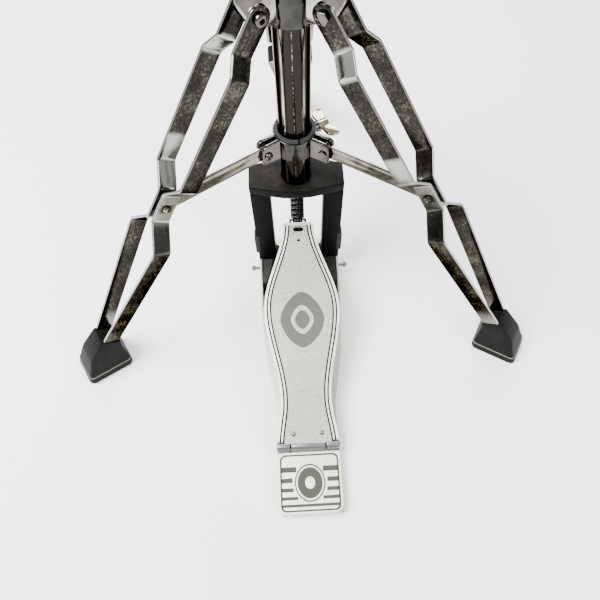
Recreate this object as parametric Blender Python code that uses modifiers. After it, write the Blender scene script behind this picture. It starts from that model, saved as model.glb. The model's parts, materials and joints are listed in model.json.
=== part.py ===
# A pedal-operated cymbal stand: footboard and chain, a spring-loaded pull rod in a
# telescopic tube, a folding double-braced tripod, a cymbal seat and a rod clutch.
# Metres, +Z up. The origin is on the floor under the tube's axis; the player sits at -Y.
import math

import bmesh
import bpy
import numpy as np
from mathutils import Matrix, Vector

# Clearances
GAP = 0.0003
SLIP = 0.0005

# Main tube, upper tube and pull rod
TUBE_R = 0.0155
TUBE_WALL = 0.0015
TUBE_TOP = 0.600
UPPER_R = 0.011
UPPER_WALL = 0.0012
UPPER_FOOT = 0.480
UPPER_TOP = 0.812
ROD_R = 0.003
ROD_FOOT = 0.1397
ROD_TOP = 1.040

# Pedal: the hinge axis, and the board's run and rise from there to its toe
HINGE_Y = -0.2556
HINGE_Z = 0.017
HINGE_R = 0.0048
HINGE_BORE = 0.0023
KNUCKLE = 0.0145
BOARD_RUN = 0.2436
BOARD_RISE = 0.073
BOARD_LENGTH = math.hypot(BOARD_RUN, BOARD_RISE)
BOARD_SLOPE = math.atan2(BOARD_RISE, BOARD_RUN)
BOARD_THICK = 0.0035
BOARD_WIDTHS = ((0.0, 0.0340), (0.2, 0.0280), (0.6, 0.0428), (1.0, 0.0177))
HEEL_WIDTH = 0.0685
HEEL_LENGTH = 0.065
HEEL_TOP = 0.0155
HEEL_NEAR = HINGE_Y - 0.0054
HEEL_FAR = HEEL_NEAR - HEEL_LENGTH
RIVET_X = 0.0155
RIVET_ALONG = 0.0135
CHAIN_TOP_Z = 0.128
CHAIN_LINKS = 5
TOE_PIN = 0.0047
CHEEK_X = 0.0089
CHEEK_HALF = 0.0011

# Floor plate, frame and casting
PLATE_Z = 0.0043
PLATE_THICK = 0.0025
PLATE_TOP = PLATE_Z + PLATE_THICK
PLATE_HALF = 0.0495
FRAME_HALF = 0.0503
FRAME_INNER = 0.0285
FRAME_FRONT = -0.017
FRAME_BACK = -0.001
CASTING_TOP = 0.1635
CASTING_THICK = 0.012
SOCKET_Z = CASTING_TOP - 0.008

# Tripod: collar pivots, leg line and brace, all in a plane through the tube's axis
LEG_AZIMUTHS = (math.radians(210), math.radians(330), math.radians(90))
KNOB_AZIMUTH = math.radians(30)
KNOB_OUT = Vector((math.cos(KNOB_AZIMUTH), math.sin(KNOB_AZIMUTH), 0.0))
KNOB_R = 0.026
BOSS_R = 0.0052
THREAD_R = 0.0033
LOWER_PIVOT_R = 0.0334
LOWER_PIVOT_Z = 0.215
UPPER_PIVOT_R = 0.0337
UPPER_PIVOT_Z = 0.3595
FOOT_R = 0.2944
SOLE_R = 0.2740
BRACE_ON_LEG = 0.1847
LEG_DROP = math.hypot(FOOT_R - UPPER_PIVOT_R, UPPER_PIVOT_Z)
LEG_TILT = math.atan2(UPPER_PIVOT_Z, FOOT_R - UPPER_PIVOT_R)
STRIP_WIDTH = 0.0185
STRIP_THICK = 0.0025
STRIP_END = LEG_DROP - 0.030
STRIP_STATIONS = (
    (-0.010, 0.0120), (0.0290, 0.0120), (0.0440, 0.0220), (0.1500, 0.0220), (0.1690, 0.0041),
    (0.2005, 0.0041), (0.2234, 0.0250), (STRIP_END, 0.0062),
)
BRACE_THICK = 0.004
BRACE_WIDTH = 0.014
BRACE_HOLE = 0.0026
COLLAR_R = 0.0212
COLLAR_BORE = 0.0173
LOWER_COLLAR_Z = (0.2045, 0.2270)
UPPER_COLLAR_Z = (0.3440, 0.3760)

# Top end
CLAMP_Z = (0.575, 0.612)
CLAMP_KNOB_Z = 0.6065
CLAMP_LIP_R = 0.0142
CLAMP_BUSH_TOP = 0.6152
MEMORY_LOCK_TOP = 0.630
SEAT_Z = 0.8123
SEAT_HINGE = 0.0195
SEAT_HOLE = 0.0052
CLUTCH_Z = 0.925

ROUND = 22
SMALL_ROUND = 12
CREASE = math.radians(32)
AXIS_X = Matrix.Rotation(math.radians(90), 4, "Y")
# Stands a flat outline up: its Y points up and its thickness runs to -Y
UPRIGHT = Matrix(((1, 0, 0, 0), (0, 0, -1, 0), (0, 1, 0, 0), (0, 0, 0, 1)))

for old in list(bpy.data.objects):
    bpy.data.objects.remove(old, do_unlink=True)

PARTS = bpy.data.collections.new("hi_hat_stand")
CUTTERS = bpy.data.collections.new("cutters")
bpy.context.scene.collection.children.link(PARTS)
bpy.context.scene.collection.children.link(CUTTERS)


def finish(name, colour, roughness, metallic):
    material = bpy.data.materials.new(name)
    material.use_nodes = True
    shader = material.node_tree.nodes["Principled BSDF"]
    shader.inputs["Base Color"].default_value = (*colour, 1.0)
    shader.inputs["Roughness"].default_value = roughness
    shader.inputs["Metallic"].default_value = metallic
    return material


CHROME = ("chrome", (0.55, 0.55, 0.53), 0.12, 1.0)
STEEL = ("steel", (0.45, 0.45, 0.46), 0.35, 1.0)
SILVER = ("silver_plate", (0.66, 0.66, 0.64), 0.45, 0.8)
BLACK_CAST = ("black_casting", (0.03, 0.03, 0.032), 0.45, 0.3)
GREY_CAST = ("grey_casting", (0.16, 0.16, 0.16), 0.55, 0.4)
BLACK_STEEL = ("black_steel", (0.02, 0.02, 0.02), 0.35, 0.7)
RUBBER = ("rubber", (0.025, 0.025, 0.025), 0.75, 0.0)
NYLON = ("nylon", (0.09, 0.09, 0.095), 0.5, 0.0)
FELT = ("felt", (0.10, 0.10, 0.10), 0.95, 0.0)


# ---- shape helpers -------------------------------------------------------------------

def add_object(name, mesh, look=None, matrix=None, parent=None):
    item = bpy.data.objects.new(name, mesh)
    if look is None:
        CUTTERS.objects.link(item)
        item.hide_render = True
        item.display_type = "WIRE"
    else:
        PARTS.objects.link(item)
        mesh.materials.append(finish(f"{name}_{look[0]}", *look[1:]))
    if parent is not None:
        item.parent = parent
    if matrix is not None:
        item.matrix_local = matrix
    return item


def pivot(name, place, azimuth=0.0, parent=None):
    """An empty on a joint's axis; its X is turned to the azimuth."""
    empty = bpy.data.objects.new(name, None)
    bpy.context.scene.collection.objects.link(empty)
    empty.location = place
    empty.rotation_euler = (0.0, 0.0, azimuth)
    empty.parent = parent
    return empty


def shift(x, y, z):
    return Matrix.Translation((x, y, z))


def block_mesh(size, centre, chamfer=0.0):
    mesh = bmesh.new()
    bmesh.ops.create_cube(mesh, size=1.0)
    bmesh.ops.scale(mesh, vec=Vector(size), verts=mesh.verts)
    bmesh.ops.translate(mesh, vec=Vector(centre), verts=mesh.verts)
    if chamfer:
        bmesh.ops.bevel(mesh, geom=mesh.edges[:], offset=chamfer, segments=1, affect="EDGES")
    data = bpy.data.meshes.new("block")
    mesh.to_mesh(data)
    mesh.free()
    return data


def rod_mesh(radius, start, end, sides=SMALL_ROUND):
    """A straight round bar between two points."""
    start = Vector(start)
    end = Vector(end)
    mesh = bmesh.new()
    bmesh.ops.create_cone(mesh, cap_ends=True, segments=sides, radius1=radius,
                          radius2=radius, depth=(end - start).length)
    turn = Vector((0, 0, 1)).rotation_difference(end - start).to_matrix().to_4x4()
    mesh.transform(Matrix.Translation((start + end) / 2) @ turn)
    data = bpy.data.meshes.new("rod")
    mesh.to_mesh(data)
    mesh.free()
    smooth(data)
    return data


def smooth(data):
    data.shade_smooth()
    data.set_sharp_from_angle(angle=CREASE)


def face_outwards(data, within=0.000001):
    """Welds a closed mesh's doubles and turns its faces out."""
    mesh = bmesh.new()
    mesh.from_mesh(data)
    bmesh.ops.remove_doubles(mesh, verts=mesh.verts, dist=within)
    bmesh.ops.recalc_face_normals(mesh, faces=mesh.faces)
    mesh.to_mesh(data)
    mesh.free()


def settle(item):
    """Replaces an object's modifiers with the shape that they make."""
    shape = bpy.data.meshes.new_from_object(item.evaluated_get(bpy.context.evaluated_depsgraph_get()))
    item.modifiers.clear()
    item.data = shape
    return shape


def turned_mesh(profile, steps=ROUND, closed=True):
    """A ring or a solid of revolution. The profile runs down the outer side."""
    mesh = bmesh.new()
    corners = [mesh.verts.new((r, 0.0, z)) for r, z in profile]
    for a, b in zip(corners, corners[1:]):
        mesh.edges.new((a, b))
    if closed:
        mesh.edges.new((corners[-1], corners[0]))
    data = bpy.data.meshes.new("turned")
    mesh.to_mesh(data)
    mesh.free()
    item = bpy.data.objects.new("turned", data)
    bpy.context.scene.collection.objects.link(item)
    screw = item.modifiers.new("Screw", "SCREW")
    screw.steps = steps
    screw.render_steps = steps
    screw.use_merge_vertices = True
    screw.merge_threshold = 0.00001
    bpy.context.view_layer.update()
    shape = settle(item)
    bpy.data.objects.remove(item, do_unlink=True)
    face_outwards(shape)
    smooth(shape)
    return shape


def sleeve(outer, inner, low, high, steps=ROUND, chamfer=0.0006):
    """A plain ring with its outer edges broken."""
    return turned_mesh((
        (inner, high), (outer - chamfer, high), (outer, high - chamfer),
        (outer, low + chamfer), (outer - chamfer, low), (inner, low)), steps)


def slab_mesh(outline, low, high, holes=()):
    """A flat plate with the outline in XY, from low to high in Z."""
    curve = bpy.data.curves.new("outline", "CURVE")
    curve.dimensions = "2D"
    curve.fill_mode = "BOTH"
    curve.extrude = (high - low) / 2
    for loop in (outline, *holes):
        spline = curve.splines.new("POLY")
        spline.points.add(len(loop) - 1)
        for point, (x, y) in zip(spline.points, loop):
            point.co = (x, y, 0.0, 1.0)
        spline.use_cyclic_u = True
    item = bpy.data.objects.new("outline", curve)
    bpy.context.scene.collection.objects.link(item)
    bpy.context.view_layer.update()
    depsgraph = bpy.context.evaluated_depsgraph_get()
    shape = bpy.data.meshes.new_from_object(item.evaluated_get(depsgraph))
    bpy.data.objects.remove(item, do_unlink=True)
    face_outwards(shape)
    shape.transform(shift(0.0, 0.0, (low + high) / 2))
    return shape


def arc(centre, radius, start, end, steps):
    """Points on an arc, angles in degrees."""
    angles = np.radians(np.linspace(start, end, steps + 1))
    return [(centre[0] + radius * math.cos(a), centre[1] + radius * math.sin(a)) for a in angles]


def circle(centre, radius, sides=SMALL_ROUND):
    return arc(centre, radius, 0, 360, sides)[:-1]


def rounded_box(x0, y0, x1, y1, radius, steps=4):
    return (arc((x1 - radius, y0 + radius), radius, -90, 0, steps)
            + arc((x1 - radius, y1 - radius), radius, 0, 90, steps)
            + arc((x0 + radius, y1 - radius), radius, 90, 180, steps)
            + arc((x0 + radius, y0 + radius), radius, 180, 270, steps))


def capsule(start, end, half, steps=8):
    """A straight bar outline along X with round ends."""
    return arc((end, 0.0), half, -90, 90, steps) + arc((start, 0.0), half, 90, 270, steps)


def boolean(item, mesh, operation, matrix=None):
    tool = add_object(f"{item.name}_{operation.lower()}_{len(item.modifiers)}", mesh,
                      matrix=matrix, parent=item)
    step = item.modifiers.new(operation.title(), "BOOLEAN")
    step.operation = operation
    step.object = tool
    return item


def cut(item, mesh, matrix=None):
    return boolean(item, mesh, "DIFFERENCE", matrix)


def fuse(item, mesh, matrix=None):
    return boolean(item, mesh, "UNION", matrix)


def chamfer_edges(item, width):
    step = item.modifiers.new("Bevel", "BEVEL")
    step.width = width
    step.segments = 1
    step.limit_method = "ANGLE"
    step.angle_limit = CREASE
    return item


def join_meshes(meshes):
    """One mesh that holds several closed solids."""
    joined = bmesh.new()
    for data in meshes:
        joined.from_mesh(data)
    shape = bpy.data.meshes.new("group")
    joined.to_mesh(shape)
    joined.free()
    return shape


def moved(data, matrix):
    data.transform(matrix)
    face_outwards(data)
    return data


# ---- floor plate, heel and frame -----------------------------------------------------

def make_floor_plate():
    half_heel = HEEL_WIDTH / 2 - SLIP
    shoulder = PLATE_HALF - 0.004
    right = [(half_heel, HEEL_FAR + 0.0004), (half_heel, HINGE_Y + 0.050), (shoulder, HINGE_Y + 0.115),
             (PLATE_HALF, FRAME_FRONT - 0.058), (PLATE_HALF, 0.022)]
    outline = right + [(-x, y) for x, y in reversed(right)]
    plate = add_object("base_plate", slab_mesh(outline, PLATE_Z, PLATE_TOP), SILVER)
    flank_back = FRAME_FRONT - 0.002
    flank_front = FRAME_FRONT - 0.060
    high = 0.020
    low = 0.007
    flank = [(flank_front, 0.0), (flank_back, 0.0), (flank_back, high), (flank_back - high, high),
             (flank_front + GAP, low)]
    half = 0.001
    for side in (-1, 1):
        # The flank's X runs along Y and its Y runs up
        stand_up = Matrix(((0, 0, 1, side * (PLATE_HALF - half - GAP)), (1, 0, 0, 0),
                           (0, 1, 0, PLATE_TOP - GAP), (0, 0, 0, 1)))
        fuse(plate, moved(slab_mesh(flank, -half, half), stand_up))
    inset = 0.004
    mat = rounded_box(-0.0320, HEEL_FAR + inset, 0.0320, 0.022 - inset, 0.006)
    add_object("base_rubber_mat", slab_mesh(mat, 0.0, PLATE_Z - GAP), RUBBER)


def make_heel():
    low = PLATE_TOP + GAP
    half = HEEL_WIDTH / 2
    corner = 0.006
    outline = (arc((half - corner, HEEL_FAR + corner), corner, -90, 0, 4)
               + [(half, HEEL_NEAR), (-half, HEEL_NEAR)]
               + arc((-half + corner, HEEL_FAR + corner), corner, 180, 270, 4))
    heel = add_object("heel_plate", slab_mesh(outline, low, HEEL_TOP), SILVER)
    web_top = HINGE_Z - 0.001
    for side in (-1, 1):
        start = side * (half - KNUCKLE)
        end = side * half
        fuse(heel, rod_mesh(HINGE_R, (start, HINGE_Y, HINGE_Z), (end, HINGE_Y, HINGE_Z)))
        fuse(heel, block_mesh((KNUCKLE, 0.010, web_top - low),
                              ((start + end) / 2, HEEL_NEAR + 0.0010, (web_top + low) / 2)))
    cut(heel, rod_mesh(HINGE_BORE, (-0.05, HINGE_Y, HINGE_Z), (0.05, HINGE_Y, HINGE_Z)))
    reach = half + SLIP
    add_object("hinge_pin", rod_mesh(HINGE_BORE - GAP, (-reach, HINGE_Y, HINGE_Z),
                                     (reach, HINGE_Y, HINGE_Z)), STEEL)


def make_frame():
    low = PLATE_TOP + GAP
    top = CASTING_TOP - CASTING_THICK - GAP
    bar_top = 0.026
    radius = 0.012
    beyond = 0.010
    outer = rounded_box(-FRAME_HALF, low, FRAME_HALF, top + beyond, 0.003, 2)
    window = (arc((FRAME_INNER - radius, bar_top + radius), radius, -90, 0, 5)
              + [(FRAME_INNER, top + 2 * beyond), (-FRAME_INNER, top + 2 * beyond)]
              + arc((-FRAME_INNER + radius, bar_top + radius), radius, 180, 270, 5))
    frame = add_object("yoke_frame", moved(slab_mesh(outer, -FRAME_BACK, -FRAME_FRONT), UPRIGHT),
                       BLACK_CAST)
    cut(frame, moved(slab_mesh(window, -FRAME_BACK - beyond, -FRAME_FRONT + beyond), UPRIGHT))
    cut(frame, block_mesh((0.2, 0.2, 0.05), (0.0, 0.0, top + 0.025)))
    pad = (0.0040, 0.011, 0.034)
    for side in (-1, 1):
        fuse(frame, block_mesh(pad, (side * FRAME_HALF, (FRAME_FRONT + FRAME_BACK) / 2, 0.056)))
    chamfer_edges(frame, 0.0008)
    screw_y = FRAME_FRONT - 0.012
    screw_z = 0.0215
    for side, hand in ((-1, "left"), (1, "right")):
        outline = [(side * 0.0325, FRAME_FRONT - GAP), (side * 0.0470, FRAME_FRONT - GAP),
                   (side * 0.0470, -0.052), (side * 0.0410, -0.052)]
        block = slab_mesh(outline, low, 0.024)
        add_object(f"frame_foot_block_{hand}", block, GREY_CAST)
        screw = rod_mesh(0.0026, (side * (PLATE_HALF + GAP), screw_y, screw_z),
                         (side * 0.0600, screw_y, screw_z))
        add_object(f"frame_side_screw_{hand}", screw, STEEL)


def make_casting():
    half = FRAME_HALF + GAP
    outline = [(-0.016, -0.0235), (0.016, -0.0235), (half, -0.0160), (half, 0.013),
               (0.020, 0.023), (-0.020, 0.023), (-half, 0.013), (-half, -0.0160)]
    low = CASTING_TOP - CASTING_THICK
    casting = add_object("base_casting", slab_mesh(outline, low, CASTING_TOP), BLACK_CAST)
    chamfer_edges(casting, 0.0010)
    above = CASTING_TOP + 0.01
    cut(casting, rod_mesh(TUBE_R + GAP, (0, 0, SOCKET_Z), (0, 0, above), ROUND))
    cut(casting, rod_mesh(0.0062, (0, 0, low - 0.01), (0, 0, SOCKET_Z + 0.01), SMALL_ROUND))


# ---- tube, rod and clutch ------------------------------------------------------------

def make_tubes():
    inner = TUBE_R - TUBE_WALL
    add_object("lower_tube", sleeve(TUBE_R, inner, SOCKET_Z + GAP, TUBE_TOP, ROUND, 0.0003), CHROME)
    guide_z = 0.166
    seat_z = guide_z + 0.012
    spring_z = seat_z + 0.006
    pusher_z = 0.320
    add_object("rod_guide_bush", sleeve(inner - GAP, ROD_R + SLIP, guide_z, seat_z, 16), NYLON)
    add_object("spring_seat", sleeve(inner - GAP, ROD_R + SLIP * 2, seat_z + GAP, spring_z, 16),
               STEEL)
    make_spring(spring_z + GAP, pusher_z)
    add_object("spring_pusher", sleeve(0.0120, ROD_R + GAP, pusher_z + GAP, 0.328, 16), STEEL)
    add_object("upper_tube", sleeve(UPPER_R, UPPER_R - UPPER_WALL, UPPER_FOOT, UPPER_TOP, 24,
                                    0.0003), CHROME)
    add_object("pull_rod", rod_mesh(ROD_R, (0, 0, ROD_FOOT), (0, 0, ROD_TOP), 12), STEEL)


def make_spring(low, high):
    """A compression spring round the pull rod, with closed ends."""
    wire = 0.0009
    coil_r = 0.0085
    turns = 8
    per_turn = 10
    count = turns * per_turn + 1
    bottom = low + wire
    rise = high - low - 2 * wire
    curve = bpy.data.curves.new("spring", "CURVE")
    curve.dimensions = "3D"
    curve.bevel_depth = wire
    curve.bevel_resolution = 2
    curve.use_fill_caps = True
    spline = curve.splines.new("POLY")
    spline.points.add(count - 1)
    for index in range(count):
        share = index / (count - 1)
        angle = 2 * math.pi * index / per_turn
        # The end turns lie almost flat
        eased = min(max((share - 0.08) / 0.84, 0.0), 1.0)
        height = bottom + rise * (0.06 * share + 0.94 * eased)
        spline.points[index].co = (coil_r * math.cos(angle), coil_r * math.sin(angle), height, 1.0)
    item = bpy.data.objects.new("spring", curve)
    bpy.context.scene.collection.objects.link(item)
    bpy.context.view_layer.update()
    depsgraph = bpy.context.evaluated_depsgraph_get()
    shape = bpy.data.meshes.new_from_object(item.evaluated_get(depsgraph))
    bpy.data.objects.remove(item, do_unlink=True)
    face_outwards(shape)
    smooth(shape)
    add_object("return_spring", shape, STEEL)


def wing_bolt(name, out, height, shank):
    """A radial wing bolt whose axis points outwards; its hub starts at the distance out."""
    hub = pivot(f"{name}_axis", KNOB_OUT * out + Vector((0.0, 0.0, height)), KNOB_AZIMUTH)
    hub_r = 0.0056
    thread = 0.0030
    long = 0.012
    body = turned_mesh((
        (0.0, long), (0.0045, long), (hub_r, 0.003), (hub_r, 0.0), (thread, 0.0), (thread, -shank),
        (0.0, -shank)), 16, closed=False)
    bolt = add_object(name, moved(body, AXIS_X), CHROME, parent=hub)
    half = 0.0016
    lean = 0.25
    lobe = arc((0.012, 0.0), 0.0060, -70, 90, 6) + [(0.0, 0.0045), (0.0, -0.0045)]
    lobe = [(x, y + x * lean) for x, y in lobe]
    # The lobe's X runs across the bolt, its Y runs outwards along the bolt
    lay = Matrix(((0, 1, 0, long / 2), (1, 0, 0, 0), (0, 0, 1, 0), (0, 0, 0, 1)))
    for turn in (0.0, math.pi):
        fuse(bolt, moved(slab_mesh(lobe, -half, half), Matrix.Rotation(turn, 4, "X") @ lay))


def make_clamp():
    low, high = CLAMP_Z
    edge = 0.001
    body = turned_mesh((
        (CLAMP_LIP_R, high), (COLLAR_R - edge, high), (COLLAR_R, high - edge), (COLLAR_R, low + edge),
        (COLLAR_R - edge, low), (TUBE_R + GAP, low), (TUBE_R + GAP, TUBE_TOP + GAP),
        (CLAMP_LIP_R, TUBE_TOP + GAP)))
    clamp = add_object("height_clamp", body, CHROME)
    lift = Vector((0.0, 0.0, CLAMP_KNOB_Z))
    fuse(clamp, rod_mesh(BOSS_R, KNOB_OUT * 0.018 + lift, KNOB_OUT * (KNOB_R - GAP) + lift))
    cut(clamp, rod_mesh(THREAD_R, KNOB_OUT * 0.010 + lift, KNOB_OUT * 0.03 + lift))
    wing_bolt("clamp_wing_bolt", KNOB_R, CLAMP_KNOB_Z, 0.0100)
    inner = UPPER_R + SLIP
    outer = CLAMP_LIP_R - SLIP
    flange = 0.0170
    bush = turned_mesh((
        (inner, CLAMP_BUSH_TOP), (flange, CLAMP_BUSH_TOP), (flange, high + GAP), (outer, high + GAP),
        (outer, 0.560), (inner, 0.560)), 24)
    add_object("clamp_bush", bush, NYLON)
    lock_foot = CLAMP_BUSH_TOP + GAP
    lock = add_object("memory_lock", sleeve(0.0178, inner, lock_foot, MEMORY_LOCK_TOP, 24, edge),
                      CHROME)
    cut(lock, block_mesh((0.012, 0.0022, 0.03), (0.0155, 0.0, (lock_foot + MEMORY_LOCK_TOP) / 2)))


def make_seat():
    z = SEAT_Z
    cup = turned_mesh((
        (SEAT_HOLE, z + 0.006), (0.0190, z + 0.006), (0.0200, z + 0.005), (0.0200, z + 0.001),
        (0.0135, z - 0.004), (0.0135, z - 0.012), (UPPER_R + GAP, z - 0.012), (UPPER_R + GAP, z),
        (SEAT_HOLE, z)), 24)
    base = add_object("seat_base_cup", cup, CHROME)
    screw_out = 0.0155
    cut(base, rod_mesh(0.0019, (screw_out, 0, z - 0.02), (screw_out, 0, z + 0.02), 10))
    under = z + 0.006 + GAP
    tilt = pivot("seat_tilt_axis", (-SEAT_HINGE, 0.0, under))
    local = shift(SEAT_HINGE, 0.0, -under)
    plate = turned_mesh((
        (SEAT_HOLE, z + 0.0130), (0.0080, z + 0.0130), (0.0080, z + 0.0095), (0.0220, z + 0.0090),
        (0.0225, z + 0.0080), (0.0205, under), (SEAT_HOLE, under)), 24)
    add_object("seat_plate", plate, CHROME, local, tilt)
    felt = sleeve(0.0205, 0.0084, z + 0.0100, z + 0.0200, 24, 0.0015)
    add_object("seat_felt", felt, FELT, local, tilt)
    screw = pivot("seat_screw_axis", (screw_out, 0.0, 0.0))
    thread = 0.0016
    add_object("seat_tilt_screw", turned_mesh((
        (0.0, z + 0.006), (thread, z + 0.006), (thread, z - 0.0045), (thread + GAP, z - 0.0045),
        (thread + GAP, z - 0.0105), (0.0, z - 0.0105)), 12, closed=False), STEEL, parent=screw)


def make_clutch():
    z = CLUTCH_Z
    bore = ROD_R + SLIP
    sleeve_r = 0.0050
    body = turned_mesh((
        (bore, z + 0.062), (0.0080, z + 0.062), (0.0090, z + 0.061), (0.0090, z + 0.047),
        (0.0080, z + 0.046), (sleeve_r, z + 0.046), (sleeve_r, z), (bore, z)), 16)
    hub = pivot("clutch_axis", (0.0, 0.0, z))
    local = shift(0.0, 0.0, -z)
    head = add_object("clutch_sleeve", body, CHROME, local, hub)
    lift = Vector((0.0, 0.0, z + 0.054))
    cut(head, rod_mesh(THREAD_R, KNOB_OUT * 0.005 + lift, KNOB_OUT * 0.02 + lift))
    wing_bolt("clutch_wing_bolt", 0.0094, z + 0.054, 0.0040)
    loose = sleeve_r + GAP
    add_object("clutch_bottom_nut", sleeve(0.0110, loose, z + 0.0005, z + 0.0075, 16), CHROME,
               local, hub)
    for name, low in (("clutch_lower_felt", z + 0.0080), ("clutch_upper_felt", z + 0.0170)):
        add_object(name, sleeve(0.0155, loose, low, low + 0.0085, 16, 0.0015), FELT, local, hub)
    add_object("clutch_top_nut", sleeve(0.0120, loose, z + 0.0260, z + 0.0340, 16), CHROME,
               local, hub)


# ---- pedal and chain -----------------------------------------------------------------

def board_half_width(share):
    """Half width along the footboard; it eases between its widest and narrowest places."""
    for (start, low), (end, high) in zip(BOARD_WIDTHS, BOARD_WIDTHS[1:]):
        if share <= end:
            t = (share - start) / (end - start)
            return low + (high - low) * t * t * (3 - 2 * t)
    return BOARD_WIDTHS[-1][1]


def make_footboard():
    hinge = pivot("pedal_axis", (0.0, HINGE_Y, HINGE_Z))
    slope = Matrix.Rotation(BOARD_SLOPE, 4, "X")
    shares = np.linspace(0.0055 / BOARD_LENGTH, 1.0, 22)
    right = [(board_half_width(s), s * BOARD_LENGTH) for s in shares]
    outline = right + [(-x, y) for x, y in reversed(right)]
    slot = [(x, y + BOARD_LENGTH - 0.0075) for x, y in capsule(-0.0032, 0.0032, 0.0021, 5)]
    small_hole = circle((0.0, BOARD_LENGTH - 0.021), 0.0014, 10)
    rivet_r = 0.0014
    rivet_holes = [circle((x, RIVET_ALONG), rivet_r + GAP, 10) for x in (-RIVET_X, RIVET_X)]
    plate = slab_mesh(outline, 0.0, BOARD_THICK, [slot, small_hole, *rivet_holes])
    add_object("footboard", plate, SILVER, slope, hinge)
    knuckle_half = HEEL_WIDTH / 2 - KNUCKLE - SLIP
    root = add_object("footboard_hinge_block",
                      rod_mesh(HINGE_R, (-knuckle_half, 0, 0), (knuckle_half, 0, 0)), SILVER,
                      slope, hinge)
    tongue = 0.0250
    depth = 0.0030
    fuse(root, block_mesh((2 * knuckle_half, tongue, depth),
                          (0.0, tongue / 2, -depth / 2 - GAP)))
    cut(root, rod_mesh(HINGE_BORE, (-0.05, 0, 0), (0.05, 0, 0)))
    seat = BOARD_THICK + GAP
    foot = -0.0020
    for x in (-RIVET_X, RIVET_X):
        rivet = turned_mesh((
            (0.0, seat + 0.0009), (0.0022, seat + 0.0003), (0.0024, seat), (rivet_r, seat),
            (rivet_r, foot), (0.0, foot)), 12, closed=False)
        fuse(root, moved(rivet, shift(x, RIVET_ALONG, 0.0)))
    make_toe_clevis(slope, hinge)


def make_toe_clevis(slope, hinge):
    """Hooks under the toe and carries the chain's last pin between its cheeks."""
    long = 0.0260
    end = BOARD_LENGTH - SLIP
    clevis = add_object("toe_clevis", block_mesh(
        (0.0200, long, 0.0028), (0.0, end - long / 2, -0.0017), 0.0004), BLACK_STEEL, slope, hinge)
    for side in (-1, 1):
        cheek = slab_mesh(capsule(0.0, 0.0075, 0.0042, 6), -CHEEK_HALF, CHEEK_HALF)
        # The cheek's X runs along the board and its Y stands off it
        lay = Matrix(((0, 0, 1, side * CHEEK_X), (1, 0, 0, BOARD_LENGTH - 0.0055), (0, 1, 0, 0.0),
                      (0, 0, 0, 1)))
        fuse(clevis, moved(cheek, lay))
    # Room for the board, which the cheeks only clasp from below
    cut(clevis, block_mesh((0.03, 0.02, 0.010), (0.0, BOARD_LENGTH - 0.0097, 0.0050 - GAP / 2)))


def make_chain():
    """A row of links in one body, from the rod clevis down to the toe's pin."""
    top = Vector((0.0, 0.0, CHAIN_TOP_Z))
    reach = BOARD_LENGTH + TOE_PIN
    toe = Vector((0.0, HINGE_Y + reach * math.cos(BOARD_SLOPE), HINGE_Z + reach * math.sin(BOARD_SLOPE)))
    pitch = (toe - top).length / CHAIN_LINKS
    drop = math.atan2(toe.y - top.y, top.z - toe.z)
    # The chain's own X runs down to the toe; its Z is the pins' direction
    hang = Matrix(((0, 0, -1, 0), (math.sin(drop), math.cos(drop), 0, 0),
                   (-math.cos(drop), math.sin(drop), 0, 0), (0, 0, 0, 1)))
    outer = []
    inner = []
    pins = []
    half = 0.0007
    for link in range(CHAIN_LINKS):
        group, offset = (outer, 0.0066) if link % 2 else (inner, 0.0050)
        outline = capsule(link * pitch, (link + 1) * pitch, 0.0029, 4)
        for z in (-offset, offset):
            group.append(slab_mesh(outline, z - half, z + half))
    for joint in range(CHAIN_LINKS + 1):
        pins.append(rod_mesh(0.0021, (joint * pitch, 0, -0.0075), (joint * pitch, 0, 0.0075), 8))
    chain = add_object("chain", join_meshes(pins), BLACK_STEEL, hang, pivot("chain_axis", top))
    fuse(chain, join_meshes(inner))
    fuse(chain, join_meshes(outer))


def make_rod_clevis():
    low = CHAIN_TOP_Z + 0.0083
    body = add_object("rod_clevis", sleeve(0.0052, ROD_R + GAP, low + 0.0022, low + 0.0137, 16, SLIP),
                      BLACK_STEEL)
    depth = 0.0030
    fuse(body, block_mesh((0.0200, 0.0080, depth), (0.0, 0.0, low + depth / 2), 0.0004))
    for side in (-1, 1):
        cheek = slab_mesh(capsule(0.0, 0.0095, 0.0040, 6), -CHEEK_HALF, CHEEK_HALF)
        # The cheek's X runs up from the chain's top pin
        lay = Matrix(((0, 0, -1, side * CHEEK_X), (0, 1, 0, 0), (1, 0, 0, CHAIN_TOP_Z), (0, 0, 0, 1)))
        fuse(body, moved(cheek, lay))


# ---- tripod --------------------------------------------------------------------------

def radial(azimuth, r, s, z):
    """A point given by its distance out, sideways and up, for one leg's plane."""
    return Vector((r * math.cos(azimuth) - s * math.sin(azimuth),
                   r * math.sin(azimuth) + s * math.cos(azimuth), z))


def leg_plane(azimuth):
    """Maps a flat outline (out, up, sideways) to the leg's plane."""
    return Matrix.Rotation(azimuth, 4, "Z") @ UPRIGHT


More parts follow.
